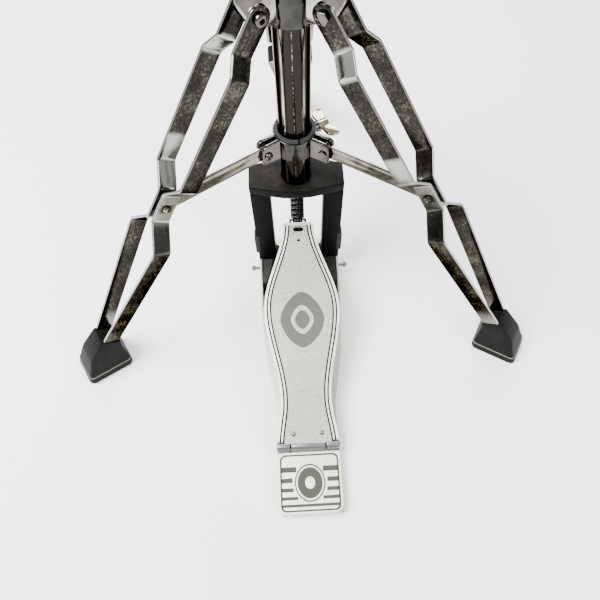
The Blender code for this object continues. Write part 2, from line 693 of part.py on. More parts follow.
def make_collar(name, heights, lug_outline, lug_offsets, lug_half, pivot_r, pivot_z, hole):
    """A ring with lugs for the three legs or braces, a boss and its bore."""
    low, high = heights
    body = sleeve(COLLAR_R, 0.0150, low, high)
    collar = add_object(name, body, CHROME)
    for azimuth in LEG_AZIMUTHS:
        for offset in lug_offsets:
            lug = slab_mesh(lug_outline, offset - lug_half, offset + lug_half)
            fuse(collar, moved(lug, leg_plane(azimuth)))
    lift = Vector((0.0, 0.0, (low + high) / 2))
    fuse(collar, rod_mesh(BOSS_R, KNOB_OUT * 0.018 + lift, KNOB_OUT * (KNOB_R - GAP) + lift))
    cut(collar, rod_mesh(COLLAR_BORE, (0, 0, low - 0.01), (0, 0, high + 0.01), ROUND))
    cut(collar, rod_mesh(THREAD_R, KNOB_OUT * 0.010 + lift, KNOB_OUT * 0.03 + lift))
    for azimuth in LEG_AZIMUTHS:
        cut(collar, rod_mesh(hole, radial(azimuth, pivot_r, -0.02, pivot_z),
                             radial(azimuth, pivot_r, 0.02, pivot_z)))


def collar_bush(name, heights):
    """The split ring between a collar and the tube, with a lip on the collar's top."""
    low, high = heights
    inner = TUBE_R + SLIP
    outer = COLLAR_BORE - GAP
    lip_r = 0.0202
    lip_top = high + 0.0040
    bush = add_object(name, turned_mesh((
        (inner, lip_top), (lip_r, lip_top), (lip_r, high + GAP), (outer, high + GAP),
        (outer, low), (inner, low))), NYLON)
    cut(bush, block_mesh((0.0014, 0.010, 0.08), (0.0035, -0.0175, (low + high) / 2)))


def make_lower_collar():
    low, high = LOWER_COLLAR_Z
    ear_half = 0.0019
    ear_offset = BRACE_THICK / 2 + SLIP + ear_half
    round_r = 0.0062
    chamfer = 0.002
    tip = LOWER_PIVOT_R + round_r
    ear = ([(0.0155, low), (tip - chamfer, low), (tip, low + chamfer)]
           + arc((tip - round_r, high - round_r), round_r, 0, 90, 3) + [(0.0155, high)])
    make_collar("lower_collar", LOWER_COLLAR_Z, ear, (-ear_offset, ear_offset), ear_half,
                LOWER_PIVOT_R, LOWER_PIVOT_Z, BRACE_HOLE)
    collar_bush("lower_collar_bush", LOWER_COLLAR_Z)
    wing_bolt("lower_wing_bolt", KNOB_R, (low + high) / 2, 0.0082)
    face = ear_offset + ear_half
    shank = 0.0022
    head = 0.0042
    for number, azimuth in enumerate(LEG_AZIMUTHS, start=1):
        pin = turned_mesh((
            (0.0, face + 0.0026), (0.0034, face + 0.0026), (head, face + 0.0016), (head, face + GAP),
            (shank, face + GAP), (shank, -face - GAP), (0.0040, -face - GAP), (0.0040, -face - 0.0018),
            (0.0, -face - 0.0018)), SMALL_ROUND, closed=False)
        turn = Matrix.Rotation(azimuth, 4, "Z") @ Matrix.Rotation(math.radians(-90), 4, "X")
        place = Matrix.Translation(radial(azimuth, LOWER_PIVOT_R, 0.0, LOWER_PIVOT_Z))
        add_object(f"brace_{number}_pin", moved(pin, place @ turn), CHROME)


def make_upper_collar():
    low, high = UPPER_COLLAR_Z
    lug_half = STRIP_STATIONS[0][1] - STRIP_THICK / 2 - SLIP
    lug = ([(0.0155, low + 0.004), (0.024, low + 0.004)]
           + arc((UPPER_PIVOT_R, UPPER_PIVOT_Z), 0.0088, -80, 90, 8)
           + [(0.024, high - 0.004), (0.0155, high - 0.002)])
    make_collar("upper_collar", UPPER_COLLAR_Z, lug, (0.0,), lug_half, UPPER_PIVOT_R,
                UPPER_PIVOT_Z, 0.0030)
    collar_bush("upper_collar_bush", UPPER_COLLAR_Z)
    wing_bolt("upper_wing_bolt", KNOB_R, (low + high) / 2, 0.0082)


def bent_outline(stations, thickness, bend, steps):
    """The edge of a flat bar that is bent at its stations, with round bends."""
    path = [Vector(stations[0])]
    for before, here, after in zip(stations, stations[1:], stations[2:]):
        corner = Vector(here)
        toward = (Vector(before) - corner).normalized()
        onward = (Vector(after) - corner).normalized()
        turn = math.pi - toward.angle(onward)
        reach = bend * math.tan(turn / 2)
        bisector = (toward + onward).normalized()
        centre = corner + bisector * (bend / math.cos(turn / 2))
        start = corner + toward * reach - centre
        finish_at = corner + onward * reach - centre
        sweep = math.atan2(start.x * finish_at.y - start.y * finish_at.x, start.dot(finish_at))
        for step in range(steps + 1):
            path.append(centre + Matrix.Rotation(sweep * step / steps, 2) @ start)
    path.append(Vector(stations[-1]))
    edges = ([], [])
    for index, point in enumerate(path):
        ahead = path[min(index + 1, len(path) - 1)]
        behind = path[max(index - 1, 0)]
        along = (ahead - behind).normalized()
        side = Vector((-along.y, along.x)) * thickness / 2
        edges[0].append(tuple(point - side))
        edges[1].append(tuple(point + side))
    return edges[0] + edges[1][::-1]


def leg_strip(name, side, place, hub):
    """One of a leg's two bent strips. X runs down the leg, Y is sideways, Z is the width."""
    stations = [(x, side * y) for x, y in STRIP_STATIONS]
    half = STRIP_WIDTH / 2
    bar = slab_mesh(bent_outline(stations, STRIP_THICK, 0.005, 2), -half, half)
    strip = add_object(name, bar, CHROME, place, hub)
    round_end = capsule(0.0, LEG_DROP, half + 0.0001, 6)
    boolean(strip, moved(slab_mesh(round_end, -0.05, 0.05), UPRIGHT), "INTERSECT")
    cut(strip, rod_mesh(0.0029, (0.0, -0.05, 0.0), (0.0, 0.05, 0.0), 12))
    # The peened head of the brace pivot
    face = STRIP_STATIONS[4][1] + STRIP_THICK / 2
    head = turned_mesh((
        (0.0, face + 0.0028), (0.0028, face + 0.0028), (0.0040, face + 0.0018),
        (0.0040, face - 0.0005), (0.0, face - 0.0005)), SMALL_ROUND, closed=False)
    turn = Matrix.Rotation(math.radians(-90 * side), 4, "X")
    fuse(strip, moved(head, shift(BRACE_ON_LEG, 0.0, 0.0) @ turn))


def leg_bolt(name, place, hub):
    """The socket-headed bolt that a leg turns on, and its nut."""
    face = STRIP_STATIONS[0][1] + STRIP_THICK / 2
    bolt = turned_mesh((
        (0.0, face + 0.0016), (0.0022, face + 0.0016), (0.0022, face + 0.0040),
        (0.0046, face + 0.0040), (0.0052, face + 0.0030), (0.0052, face + GAP),
        (0.0026, face + GAP), (0.0026, -face - GAP), (0.0050, -face - GAP),
        (0.0050, -face - 0.0032), (0.0, -face - 0.0032)), SMALL_ROUND, closed=False)
    add_object(name, moved(bolt, Matrix.Rotation(math.radians(-90), 4, "X")), CHROME, place, hub)


def leg_foot(name, place, hub):
    """A rubber foot that flares from the strips' ends to a flat sole on the floor."""
    level = (Matrix.Translation((UPPER_PIVOT_R, 0.0, UPPER_PIVOT_Z)) @ place).inverted()
    # Levels from the sole upwards: height, centre out, half length out, half width, corner radius
    levels = (
        (0.0, SOLE_R + 0.0010, 0.0270, 0.0200, 0.006), (0.0100, SOLE_R, 0.0275, 0.0205, 0.006),
        (0.0140, SOLE_R - 0.0008, 0.0265, 0.0195, 0.005),
        (0.0420, SOLE_R - 0.0090, 0.0175, 0.0125, 0.003),
        (0.0480, SOLE_R - 0.0125, 0.0158, 0.0112, 0.0025),
    )
    mesh = bmesh.new()
    rings = []
    for z, centre, long, wide, corner in levels:
        loop = rounded_box(centre - long, -wide, centre + long, wide, corner, 3)
        rings.append([mesh.verts.new((x, y, z)) for x, y in loop])
    for lower, upper in zip(rings, rings[1:]):
        for index in range(len(lower)):
            after = (index + 1) % len(lower)
            mesh.faces.new((lower[index], lower[after], upper[after], upper[index]))
    mesh.faces.new(rings[0][::-1])
    mesh.faces.new(rings[-1])
    mesh.transform(level)
    data = bpy.data.meshes.new(name)
    mesh.to_mesh(data)
    mesh.free()
    smooth(data)
    foot = add_object(name, data, RUBBER, place, hub)
    spread = STRIP_STATIONS[-2][1] - STRIP_STATIONS[-1][1]
    slope = spread / (STRIP_STATIONS[-1][0] - STRIP_STATIONS[-2][0])
    start = STRIP_END - 0.040
    end = STRIP_END + GAP
    half = STRIP_WIDTH / 2 + GAP
    for side in (-1, 1):
        ends = [(x, side * (STRIP_STATIONS[-1][1] + (STRIP_END - x) * slope)) for x in (start, end)]
        pocket = slab_mesh(bent_outline(ends, STRIP_THICK + 2 * GAP, 0.005, 1), -half, half)
        cut(foot, pocket)


def make_leg(index, azimuth):
    hub = pivot(f"leg_{index}_axis", radial(azimuth, UPPER_PIVOT_R, 0.0, UPPER_PIVOT_Z), azimuth)
    place = Matrix.Rotation(LEG_TILT, 4, "Y")
    leg_strip(f"leg_{index}_front_strip", 1, place, hub)
    leg_strip(f"leg_{index}_back_strip", -1, place, hub)
    leg_bolt(f"leg_{index}_bolt", place, hub)
    leg_foot(f"leg_{index}_foot", place, hub)


def make_brace(index, azimuth):
    meet_r = UPPER_PIVOT_R + BRACE_ON_LEG * math.cos(LEG_TILT)
    meet_z = UPPER_PIVOT_Z - BRACE_ON_LEG * math.sin(LEG_TILT)
    run = meet_r - LOWER_PIVOT_R
    rise = meet_z - LOWER_PIVOT_Z
    length = math.hypot(run, rise)
    hub = pivot(f"brace_{index}_axis", radial(azimuth, LOWER_PIVOT_R, 0.0, LOWER_PIVOT_Z), azimuth)
    place = Matrix.Rotation(math.atan2(-rise, run), 4, "Y")
    half = BRACE_THICK / 2
    holes = [circle((x, 0.0), BRACE_HOLE) for x in (0.0, length)]
    bar = slab_mesh(capsule(0.0, length, BRACE_WIDTH / 2, 7), -half, half, holes)
    add_object(f"brace_{index}", moved(bar, UPRIGHT), CHROME, place, hub)


make_floor_plate()
make_heel()
make_frame()
make_casting()
make_tubes()
make_clamp()
make_seat()
make_clutch()
make_footboard()
make_chain()
make_rod_clevis()
make_lower_collar()
make_upper_collar()
for number, azimuth in enumerate(LEG_AZIMUTHS, start=1):
    make_leg(number, azimuth)
    make_brace(number, azimuth)
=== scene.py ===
import json
import math

import bmesh
import bpy
from mathutils import Matrix, Vector


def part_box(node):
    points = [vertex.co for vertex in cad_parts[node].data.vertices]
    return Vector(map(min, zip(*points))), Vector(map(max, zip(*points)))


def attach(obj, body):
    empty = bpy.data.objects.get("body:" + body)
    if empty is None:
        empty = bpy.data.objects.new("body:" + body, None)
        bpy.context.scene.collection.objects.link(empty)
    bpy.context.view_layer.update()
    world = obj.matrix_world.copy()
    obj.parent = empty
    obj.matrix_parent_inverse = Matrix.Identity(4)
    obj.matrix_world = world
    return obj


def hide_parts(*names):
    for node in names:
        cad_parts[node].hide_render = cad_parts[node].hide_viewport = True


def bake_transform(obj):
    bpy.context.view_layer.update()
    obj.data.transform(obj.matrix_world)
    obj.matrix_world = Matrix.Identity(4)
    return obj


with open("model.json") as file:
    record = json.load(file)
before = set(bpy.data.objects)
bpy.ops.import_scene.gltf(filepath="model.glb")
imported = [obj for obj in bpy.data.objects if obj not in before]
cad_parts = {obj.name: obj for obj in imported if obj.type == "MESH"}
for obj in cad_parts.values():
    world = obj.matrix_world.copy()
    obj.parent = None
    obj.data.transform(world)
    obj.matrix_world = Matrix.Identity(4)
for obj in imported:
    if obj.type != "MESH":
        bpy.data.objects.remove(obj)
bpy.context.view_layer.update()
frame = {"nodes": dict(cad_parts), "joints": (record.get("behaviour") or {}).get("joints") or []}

scene = bpy.context.scene
joints = {joint["name"]: joint for joint in frame["joints"]}
gap = 0.0003  # the room that pieces which touch leave between them
print("frame loaded:", len(frame["nodes"]), "nodes")


class Wire:  # a socket that takes part in sums
    def __init__(self, look, socket):
        self.look = look
        self.socket = socket

    def also(self, name):  # another output of the same node
        return Wire(self.look, self.socket.node.outputs[name])

    def __add__(self, other):
        return self.look.maths("ADD", self, other)

    def __sub__(self, other):
        return self.look.maths("SUBTRACT", self, other)

    def __rsub__(self, other):
        return self.look.maths("SUBTRACT", other, self)

    def __mul__(self, other):
        return self.look.maths("MULTIPLY", self, other)

    def __truediv__(self, other):
        return self.look.maths("DIVIDE", self, other)

    def __rtruediv__(self, other):
        return self.look.maths("DIVIDE", other, self)

    def __pow__(self, other):
        return self.look.maths("POWER", self, other)

    def __rpow__(self, other):
        return self.look.maths("POWER", other, self)

    __radd__ = __add__
    __rmul__ = __mul__


class Look:  # one material and the nodes that shape it
    def __init__(self, name, colour, roughness, metallic=0.0, **fixed):
        self.material = bpy.data.materials.new(name)
        self.material.use_nodes = True
        self.tree = self.material.node_tree
        self.shader = self.tree.nodes["Principled BSDF"]
        self.feed("Base Color", colour)
        self.feed("Roughness", roughness)
        self.feed("Metallic", metallic)
        for label, value in fixed.items():
            self.feed(label.replace("_", " "), value)
        self.place = self.add("ShaderNodeTexCoord", out="Object")

    def add(self, kind, settings=None, sockets=None, out=0):
        node = self.tree.nodes.new(kind)
        for key, value in (settings or {}).items():
            if key == "stops":
                ramp = node.color_ramp.elements
                for index, (at, shade) in enumerate(value):
                    stop = ramp[index] if index < 2 else ramp.new(at)
                    stop.position = at
                    stop.color = (*(shade if isinstance(shade, tuple) else (shade,) * 3), 1.0)
            else:
                setattr(node, key, value)
        for key, value in (sockets or {}).items():
            self.plug(value, self.pick(node.inputs, key))
        return Wire(self, self.pick(node.outputs, out))

    def pick(self, sockets, key):
        shown = [socket for socket in sockets if socket.enabled]
        if isinstance(key, int):
            return shown[key]
        return next(socket for socket in shown if socket.name == key)

    def plug(self, value, socket):
        if isinstance(value, Wire):
            self.tree.links.new(value.socket, socket)
        elif socket.type == "RGBA":
            socket.default_value = (*value, 1.0)
        else:
            socket.default_value = value

    def maths(self, operation, *values):
        return self.add("ShaderNodeMath", {"operation": operation}, dict(enumerate(values)))

    def feed(self, label, value):
        self.plug(value, self.shader.inputs[label])

    def noise(self, scale, detail=2.0, stretch=None, rough=0.5):
        place = self.place
        if stretch:
            place = self.add("ShaderNodeMapping", None, {"Vector": place, "Scale": stretch})
        return self.add("ShaderNodeTexNoise", None, {
            "Vector": place, "Scale": scale, "Detail": detail, "Roughness": rough}, "Fac")

    def ramp(self, factor, *stops):
        return self.add("ShaderNodeValToRGB", {"stops": stops}, {"Fac": factor})

    def blend(self, factor, a, b):
        return self.add("ShaderNodeMix", {"data_type": "RGBA"}, {"Factor": factor, "A": a, "B": b})

    def bump(self, height, distance, strength=1.0):
        normal = self.add("ShaderNodeBump", None, {
            "Height": height, "Distance": distance, "Strength": strength})
        self.feed("Normal", normal)


# chrome: a clean mirror with faint waves, fine wipe marks and a little haze
chromeFinish = dict(colour=(0.095, 0.093, 0.087), dull=(0.038, 0.036, 0.032), roughness=0.06,
                    haze=0.14, edge=(0.40, 0.39, 0.37), waves=0.6)


def makeChrome(name, **changes):
    spec = {**chromeFinish, **changes}
    look = Look(name, spec["colour"], spec["roughness"], 1.0, Specular_Tint=spec["edge"])
    haze = look.ramp(look.noise(70.0, 4.0), (0.45, 0.0), (0.75, 1.0))
    look.feed("Base Color", look.blend(haze, spec["colour"], spec["dull"]))
    look.feed("Roughness", haze * (spec["haze"] - spec["roughness"]) + spec["roughness"])
    look.bump(look.noise(45.0, 1.0) * spec["waves"] + look.noise(900.0, 2.0) * 0.03, 0.0006, 0.35)
    return look


# the upright tube: dark plating with painted highlights, bright upright reflection streaks and thin
# reflection lines between them, at set turns round the tube
tubeFinish = dict(dark=(0.0175, 0.0168, 0.0142), warm=(0.036, 0.032, 0.025), streak=(0.55, 0.54, 0.51),
                  edge=(0.34, 0.33, 0.31), count=5.0, first=233.0, lag=0.4, hairLag=0.1, sway=0.8,
                  hairSway=0.3, narrow=15.0, hairNarrow=220.0, hairShare=0.7)


def makeTubeChrome(name):
    spec = tubeFinish
    look = Look(name, spec["dark"], 0.10, 1.0, Specular_Tint=spec["edge"])
    x = look.add("ShaderNodeSeparateXYZ", None, {0: look.place})
    turn = look.maths("ARCTAN2", x.also("Y"), x) * spec["count"]
    phase = math.radians(spec["first"] * spec["count"])
    sway = look.noise(9.0, 1.0) * spec["sway"]
    wide = look.maths("COSINE", turn + sway - (phase + spec["lag"]))
    thin = look.maths("COSINE", turn + sway * spec["hairSway"] - (phase + math.pi + spec["hairLag"]))
    # painted highlight: five bright reflection streaks round the tube
    glareStreaks = look.maths("MAXIMUM", wide, 0.0) ** spec["narrow"]
    glareLineGaps = look.ramp(look.noise(260.0), (0.45, 0.0), (0.60, 1.0))
    glareLines = (look.maths("MAXIMUM", thin, 0.0) ** spec["hairNarrow"]) * glareLineGaps
    breaks = look.ramp(look.noise(22.0, 2.0), (0.35, 0.15), (0.62, 1.0))
    clouds = look.noise(30.0, 3.0, stretch=(1.0, 1.0, 0.12))
    shade = look.ramp(clouds, (0.40, spec["dark"]), (0.66, spec["warm"]))
    # painted reflections: the streaks and the thin lines are mixed into the base colour
    shine = look.maths("MINIMUM", glareStreaks * breaks + glareLines * spec["hairShare"], 1.0)
    look.feed("Base Color", look.blend(shine, shade, spec["streak"]))
    look.feed("Roughness", look.noise(60.0, 3.0) * 0.10 + 0.04)
    look.bump(look.noise(45.0, 1.0), 0.0004, 0.25)
    return look


# the leg strips: dark speckled flats; painted reflections make the edges and the bends bright where the
# strip's highlight attribute is 1
stripFinish = dict(light=(0.098, 0.090, 0.076), mid=(0.025, 0.0232, 0.0200),
                   dark=(0.0105, 0.010, 0.0092), bright=(0.50, 0.50, 0.47), edge=(0.30, 0.295, 0.28),
                   clouds=48.0, specks=480.0, cloudShare=0.45)


def makeStripChrome(name):
    spec = stripFinish
    look = Look(name, spec["mid"], 0.14, 1.0, Specular_Tint=spec["edge"])
    clouds = look.noise(spec["clouds"], 3.0, rough=0.6)
    specks = look.noise(spec["specks"], 3.0, rough=0.6)
    field = clouds * spec["cloudShare"] + specks * (1 - spec["cloudShare"])
    tone = look.ramp(field, (0.38, spec["dark"]), (0.52, spec["mid"]), (0.68, spec["light"]))
    bare = look.add("ShaderNodeAttribute", {"attribute_name": "bare"}, out="Fac")
    # painted highlight: the attribute blends in the bright colour that stands for reflections
    look.feed("Base Color", look.blend(bare, tone, spec["bright"]))
    look.feed("Roughness", clouds * 0.16 + 0.05)
    look.bump(clouds * 0.8 + specks * 0.2, 0.0010, 0.25)
    return look


def makeSteel(name, colour=(0.50, 0.50, 0.49), roughness=0.28):
    look = Look(name, colour, roughness, 1.0)
    grain = look.noise(600.0, 3.0, stretch=(1.0, 1.0, 0.08))
    look.feed("Roughness", grain * 0.22 + roughness - 0.08)
    look.feed("Base Color", look.ramp(grain, (0.3, tuple(c * 0.75 for c in colour)), (0.7, colour)))
    look.bump(grain, 0.00008, 0.5)
    return look


# sand-blasted aluminium: pale, with fine warm and cool specks
sandFinish = dict(pale=(0.46, 0.455, 0.405), deep=(0.21, 0.21, 0.186), warm=(0.46, 0.42, 0.32),
                  grain=1000.0, patches=26.0)


def makeSanded(name, metallic=0.35, shade=1.0):
    spec = sandFinish
    pale, deep, warm = (tuple(c * shade for c in spec[key]) for key in ("pale", "deep", "warm"))
    look = Look(name, pale, 0.42, metallic)
    grain = look.noise(spec["grain"], 2.0, rough=0.7)
    patches = look.noise(spec["patches"], 3.0)
    speckle = look.ramp(grain, (0.38, deep), (0.58, pale))
    tint = look.ramp(patches, (0.48, 0.0), (0.72, 1.0))
    look.feed("Base Color", look.blend(tint * 0.5, speckle, warm))
    look.feed("Roughness", grain * 0.25 + 0.32)
    look.bump(grain, 0.00012, 0.45)
    return look


def makePaint(name, colour, worn, roughness, grain=700.0, depth=0.00015, gloss=0.08):
    look = Look(name, colour, roughness, 0.0, Specular_IOR_Level=gloss)
    dust = look.ramp(look.noise(120.0, 5.0, rough=0.65), (0.50, 0.0), (0.80, 1.0))
    skin = look.noise(grain, 2.0)
    look.feed("Base Color", look.blend(dust * 0.6, colour, worn))
    look.feed("Roughness", skin * 0.18 + dust * 0.10 + roughness - 0.09)
    look.bump(skin, depth, 0.5)
    return look


def makeRubber(name):
    look = Look(name, (0.010, 0.010, 0.009), 0.55, 0.0, Specular_IOR_Level=0.05)
    mould = look.noise(420.0, 3.0)
    dust = look.ramp(look.noise(60.0, 4.0), (0.45, 0.0), (0.8, 1.0))
    look.feed("Base Color", look.blend(dust * 0.5, (0.0045, 0.0045, 0.0042), (0.014, 0.0135, 0.012)))
    look.feed("Roughness", mould * 0.25 + 0.42)
    look.bump(mould, 0.00022, 0.5)
    return look


def makeFelt(name):
    look = Look(name, (0.055, 0.055, 0.058), 0.95, 0.0, Sheen_Weight=0.4)
    fibres = look.noise(900.0, 6.0, stretch=(1.0, 1.0, 0.35), rough=0.75)
    look.feed("Base Color", look.ramp(fibres, (0.35, (0.03, 0.03, 0.032)), (0.7, (0.13, 0.13, 0.135))))
    look.bump(fibres, 0.0006, 0.8)
    return look


chrome = makeChrome("chromePlate")
braceChrome = makeChrome("braceChrome", colour=(0.20, 0.19, 0.165), dull=(0.055, 0.050, 0.044), waves=1.5)
# painted shade: a darker copy of the chrome for the collar bodies
collarChrome = makeChrome("collarChrome", colour=(0.042, 0.041, 0.037), dull=(0.020, 0.019, 0.017))
# painted highlight: a brighter copy of the chrome for the upper collar's lugs
brightChrome = makeChrome("brightChrome", colour=(0.40, 0.385, 0.37), dull=(0.10, 0.09, 0.085), waves=1.4)
warmPlate = makeChrome("warmPlate", colour=(0.42, 0.37, 0.28), dull=(0.20, 0.17, 0.12))
tubeChrome = makeTubeChrome("tubeChrome")
stripChrome = makeStripChrome("stripChrome")
steel = makeSteel("zincSteel", (0.22, 0.22, 0.21))
barrelSteel = makeSteel("barrelSteel", (0.26, 0.27, 0.27), 0.30)
sanded = makeSanded("sandedAluminium")
plateSilver = makeSanded("platedFloor", metallic=0.45, shade=1.25)
rimSilver = makeSanded("polishedRim", metallic=0.10, shade=2.0)
ink = makePaint("greyInk", (0.088, 0.090, 0.078), (0.12, 0.12, 0.104), 0.55, grain=1500.0)
heelInk = makePaint("heelInk", (0.050, 0.050, 0.041), (0.075, 0.073, 0.060), 0.55, grain=1500.0)
darkInk = makePaint("darkInk", (0.006, 0.005, 0.005), (0.016, 0.013, 0.013), 0.55, grain=1500.0)
blackCast = makePaint("blackCasting", (0.0022, 0.0022, 0.0026), (0.007, 0.0064, 0.0056), 0.40,
                      gloss=0.04)
# painted light: a lighter copy of the black casting paint, standing for the light falling on the casting's
# top
litTopCast = makePaint("castingTop", (0.0065, 0.0060, 0.0050), (0.027, 0.023, 0.0175), 0.44, grain=900.0,
                    gloss=0.06)
greyCast = makePaint("greyCasting", (0.024, 0.024, 0.0225), (0.055, 0.052, 0.047), 0.55, grain=450.0,
                     depth=0.0003)
blackSteel = makePaint("blackenedSteel", (0.003, 0.003, 0.003), (0.010, 0.009, 0.008), 0.34,
                       gloss=0.05)
rubber = makeRubber("mouldedRubber")
# a paler rubber, for a thin band round each foot
wornRubber = makePaint("wornRubber", (0.10, 0.095, 0.083), (0.17, 0.16, 0.14), 0.5)
nylon = makePaint("nylon", (0.022, 0.022, 0.022), (0.038, 0.038, 0.037), 0.40, grain=300.0, depth=0.0001)
felt = makeFelt("pressedFelt")
print("finishes made")


def meshOf(work):
    data = bpy.data.meshes.new("shape")
    work.to_mesh(data)
    work.free()
    return data


def faceOut(data):
    # merges doubles, then turns the faces outwards
    work = bmesh.new()
    work.from_mesh(data)
    bmesh.ops.remove_doubles(work, verts=work.verts, dist=0.000001)
    bmesh.ops.recalc_face_normals(work, faces=work.faces)
    work.to_mesh(data)
    work.free()
    return data


def moved(data, matrix):
    data.transform(matrix)
    return faceOut(data)


def joined(*meshes):
    work = bmesh.new()
    for data in meshes:
        work.from_mesh(data)
    return meshOf(work)


def evaluated(item):
    bpy.context.view_layer.update()
    depsgraph = bpy.context.evaluated_depsgraph_get()
    data = bpy.data.meshes.new_from_object(item.evaluated_get(depsgraph))
    bpy.data.objects.remove(item, do_unlink=True)
    return data


def loose(data):
    item = bpy.data.objects.new("loose", data)
    scene.collection.objects.link(item)
    return item


def levels(node):
    low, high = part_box(node)
    return low[2], high[2]


def arc(centre, radius, start, end, steps):
    angles = [math.radians(start + (end - start) * i / steps) for i in range(steps + 1)]
    return [(centre[0] + radius * math.cos(a), centre[1] + radius * math.sin(a)) for a in angles]


def capsule(start, end, half, steps=14):
    return arc((end, 0.0), half, -90, 90, steps) + arc((start, 0.0), half, 90, 270, steps)


def roundedBox(x0, y0, x1, y1, radius, steps=6):
    corners = ((x1, y0, -90), (x1, y1, 0), (x0, y1, 90), (x0, y0, 180))
    points = []
    for x, y, start in corners:
        inX = math.copysign(radius, x - (x0 + x1) / 2)
        inY = math.copysign(radius, y - (y0 + y1) / 2)
        points += arc((x - inX, y - inY), radius, start, start + 90, steps)
    return points


def shrunk(points, middle, share):
    # towards a middle on the centre line
    return [(x * share, middle + (y - middle) * share) for x, y in points]


def slab(outline, low, high, holes=(), edge=0.0):
    # a flat plate in XY; edge rounds its rims
    curve = bpy.data.curves.new("outline", "CURVE")
    curve.dimensions = "2D"
    curve.fill_mode = "BOTH"
    curve.extrude = (high - low) / 2
    for loop in (outline, *holes):
        spline = curve.splines.new("POLY")
        spline.points.add(len(loop) - 1)
        for point, (x, y) in zip(spline.points, loop):
            point.co = (x, y, 0.0, 1.0)
        spline.use_cyclic_u = True
    item = bpy.data.objects.new("outline", curve)
    scene.collection.objects.link(item)
    data = faceOut(evaluated(item))
    data.transform(Matrix.Translation((0.0, 0.0, (low + high) / 2)))
    return softened(data, edge) if edge else data


def softened(data, width):
    # dissolves flat seams, then rounds the sharp edges
    work = bmesh.new()
    work.from_mesh(data)
    bmesh.ops.remove_doubles(work, verts=work.verts, dist=0.000001)
    bmesh.ops.dissolve_limit(work, angle_limit=math.radians(0.6), verts=work.verts, edges=work.edges)
    item = loose(meshOf(work))
    bevel = item.modifiers.new("edges", "BEVEL")
    bevel.width = width
    bevel.segments = 3
    bevel.limit_method = "ANGLE"
    bevel.angle_limit = math.radians(38.0)
    bevel.use_clamp_overlap = True
    return evaluated(item)


def turned(profile, sides=72, ribs=0, depth=0.0):
    # a solid or a ring of revolution; ribs flute its widest band
    work = bmesh.new()
    ring = profile[0][0] > 0.0
    points = [work.verts.new((r, 0.0, z)) for r, z in profile]
    rims = [work.edges.new(pair) for pair in zip(points, points[1:])]
    if ring:
        rims.append(work.edges.new((points[-1], points[0])))
    bmesh.ops.spin(work, geom=points + rims, cent=(0, 0, 0), axis=(0, 0, 1),
                   angle=2 * math.pi, steps=sides, use_merge=True, use_duplicate=False)
    bmesh.ops.remove_doubles(work, verts=work.verts, dist=0.0000005)
    bmesh.ops.recalc_face_normals(work, faces=work.faces)
    if ribs:
        widest = max(r for r, z in profile)
        for vert in work.verts:
            reach = math.hypot(vert.co.x, vert.co.y)
            if reach > widest - depth * 0.5:
                turn = math.atan2(vert.co.y, vert.co.x)
                scale = 1 - depth / reach * (0.5 + 0.5 * math.cos(ribs * turn))
                vert.co.x *= scale
                vert.co.y *= scale
    return meshOf(work)


def ringProfile(outer, inner, low, high, edge):
    # a plain ring's section with rounded outer rims
    middle = outer - edge
    rims = arc((middle, high - edge), edge, 90, 0, 4) + arc((middle, low + edge), edge, 0, -90, 4)
    return [(inner, high), *rims, (inner, low)]


def lofted(work, rings):
    # walls between rings of one count, closed at both ends
    for before, after in zip(rings, rings[1:]):
        for i in range(len(before)):
            j = (i + 1) % len(before)
            work.faces.new((before[i], before[j], after[j], after[i]))
    work.faces.new(rings[0][::-1])
    work.faces.new(rings[-1])
    bmesh.ops.recalc_face_normals(work, faces=work.faces)


def bar(radius, start, end, sides=40):
    start, end = Vector(start), Vector(end)
    work = bmesh.new()
    bmesh.ops.create_cone(work, cap_ends=True, segments=sides, radius1=radius, radius2=radius,
                          depth=(end - start).length)
    turn = Vector((0, 0, 1)).rotation_difference(end - start).to_matrix().to_4x4()
    work.transform(Matrix.Translation((start + end) / 2) @ turn)
    return meshOf(work)


def combine(base, others, operation):
    item = loose(base)
    tools = []
    for data in others:
        tool = loose(data)
        step = item.modifiers.new("step", "BOOLEAN")
        step.operation = operation
        step.object = tool
        tools.append(tool)
    result = evaluated(item)
    for tool in tools:
        bpy.data.objects.remove(tool, do_unlink=True)
    return result


def cadShape(node):
    return frame["nodes"][node].data.copy()


def show(name, data, body, look, stands=(), sharp=36.0, second=None):
    # second is another finish and the test that picks its faces; a piece with no body here is left
    # unattached
    piece = loose(data)
    piece.name = name
    data.name = name
    data.materials.clear()
    data.materials.append(look.material)
    if second:
        data.materials.append(second[0].material)
        for face in data.polygons:
            face.material_index = int(second[1](face))
    data.shade_smooth()
    data.set_sharp_from_angle(angle=math.radians(sharp))
    if body:
        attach(piece, body)
    if stands:
        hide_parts(*stands)
    return piece


def dress(look, *nodes):
    # a CAD node that is shown as it is, in a better finish
    for node in nodes:
        data = frame["nodes"][node].data
        data.materials.clear()
        data.materials.append(look.material)


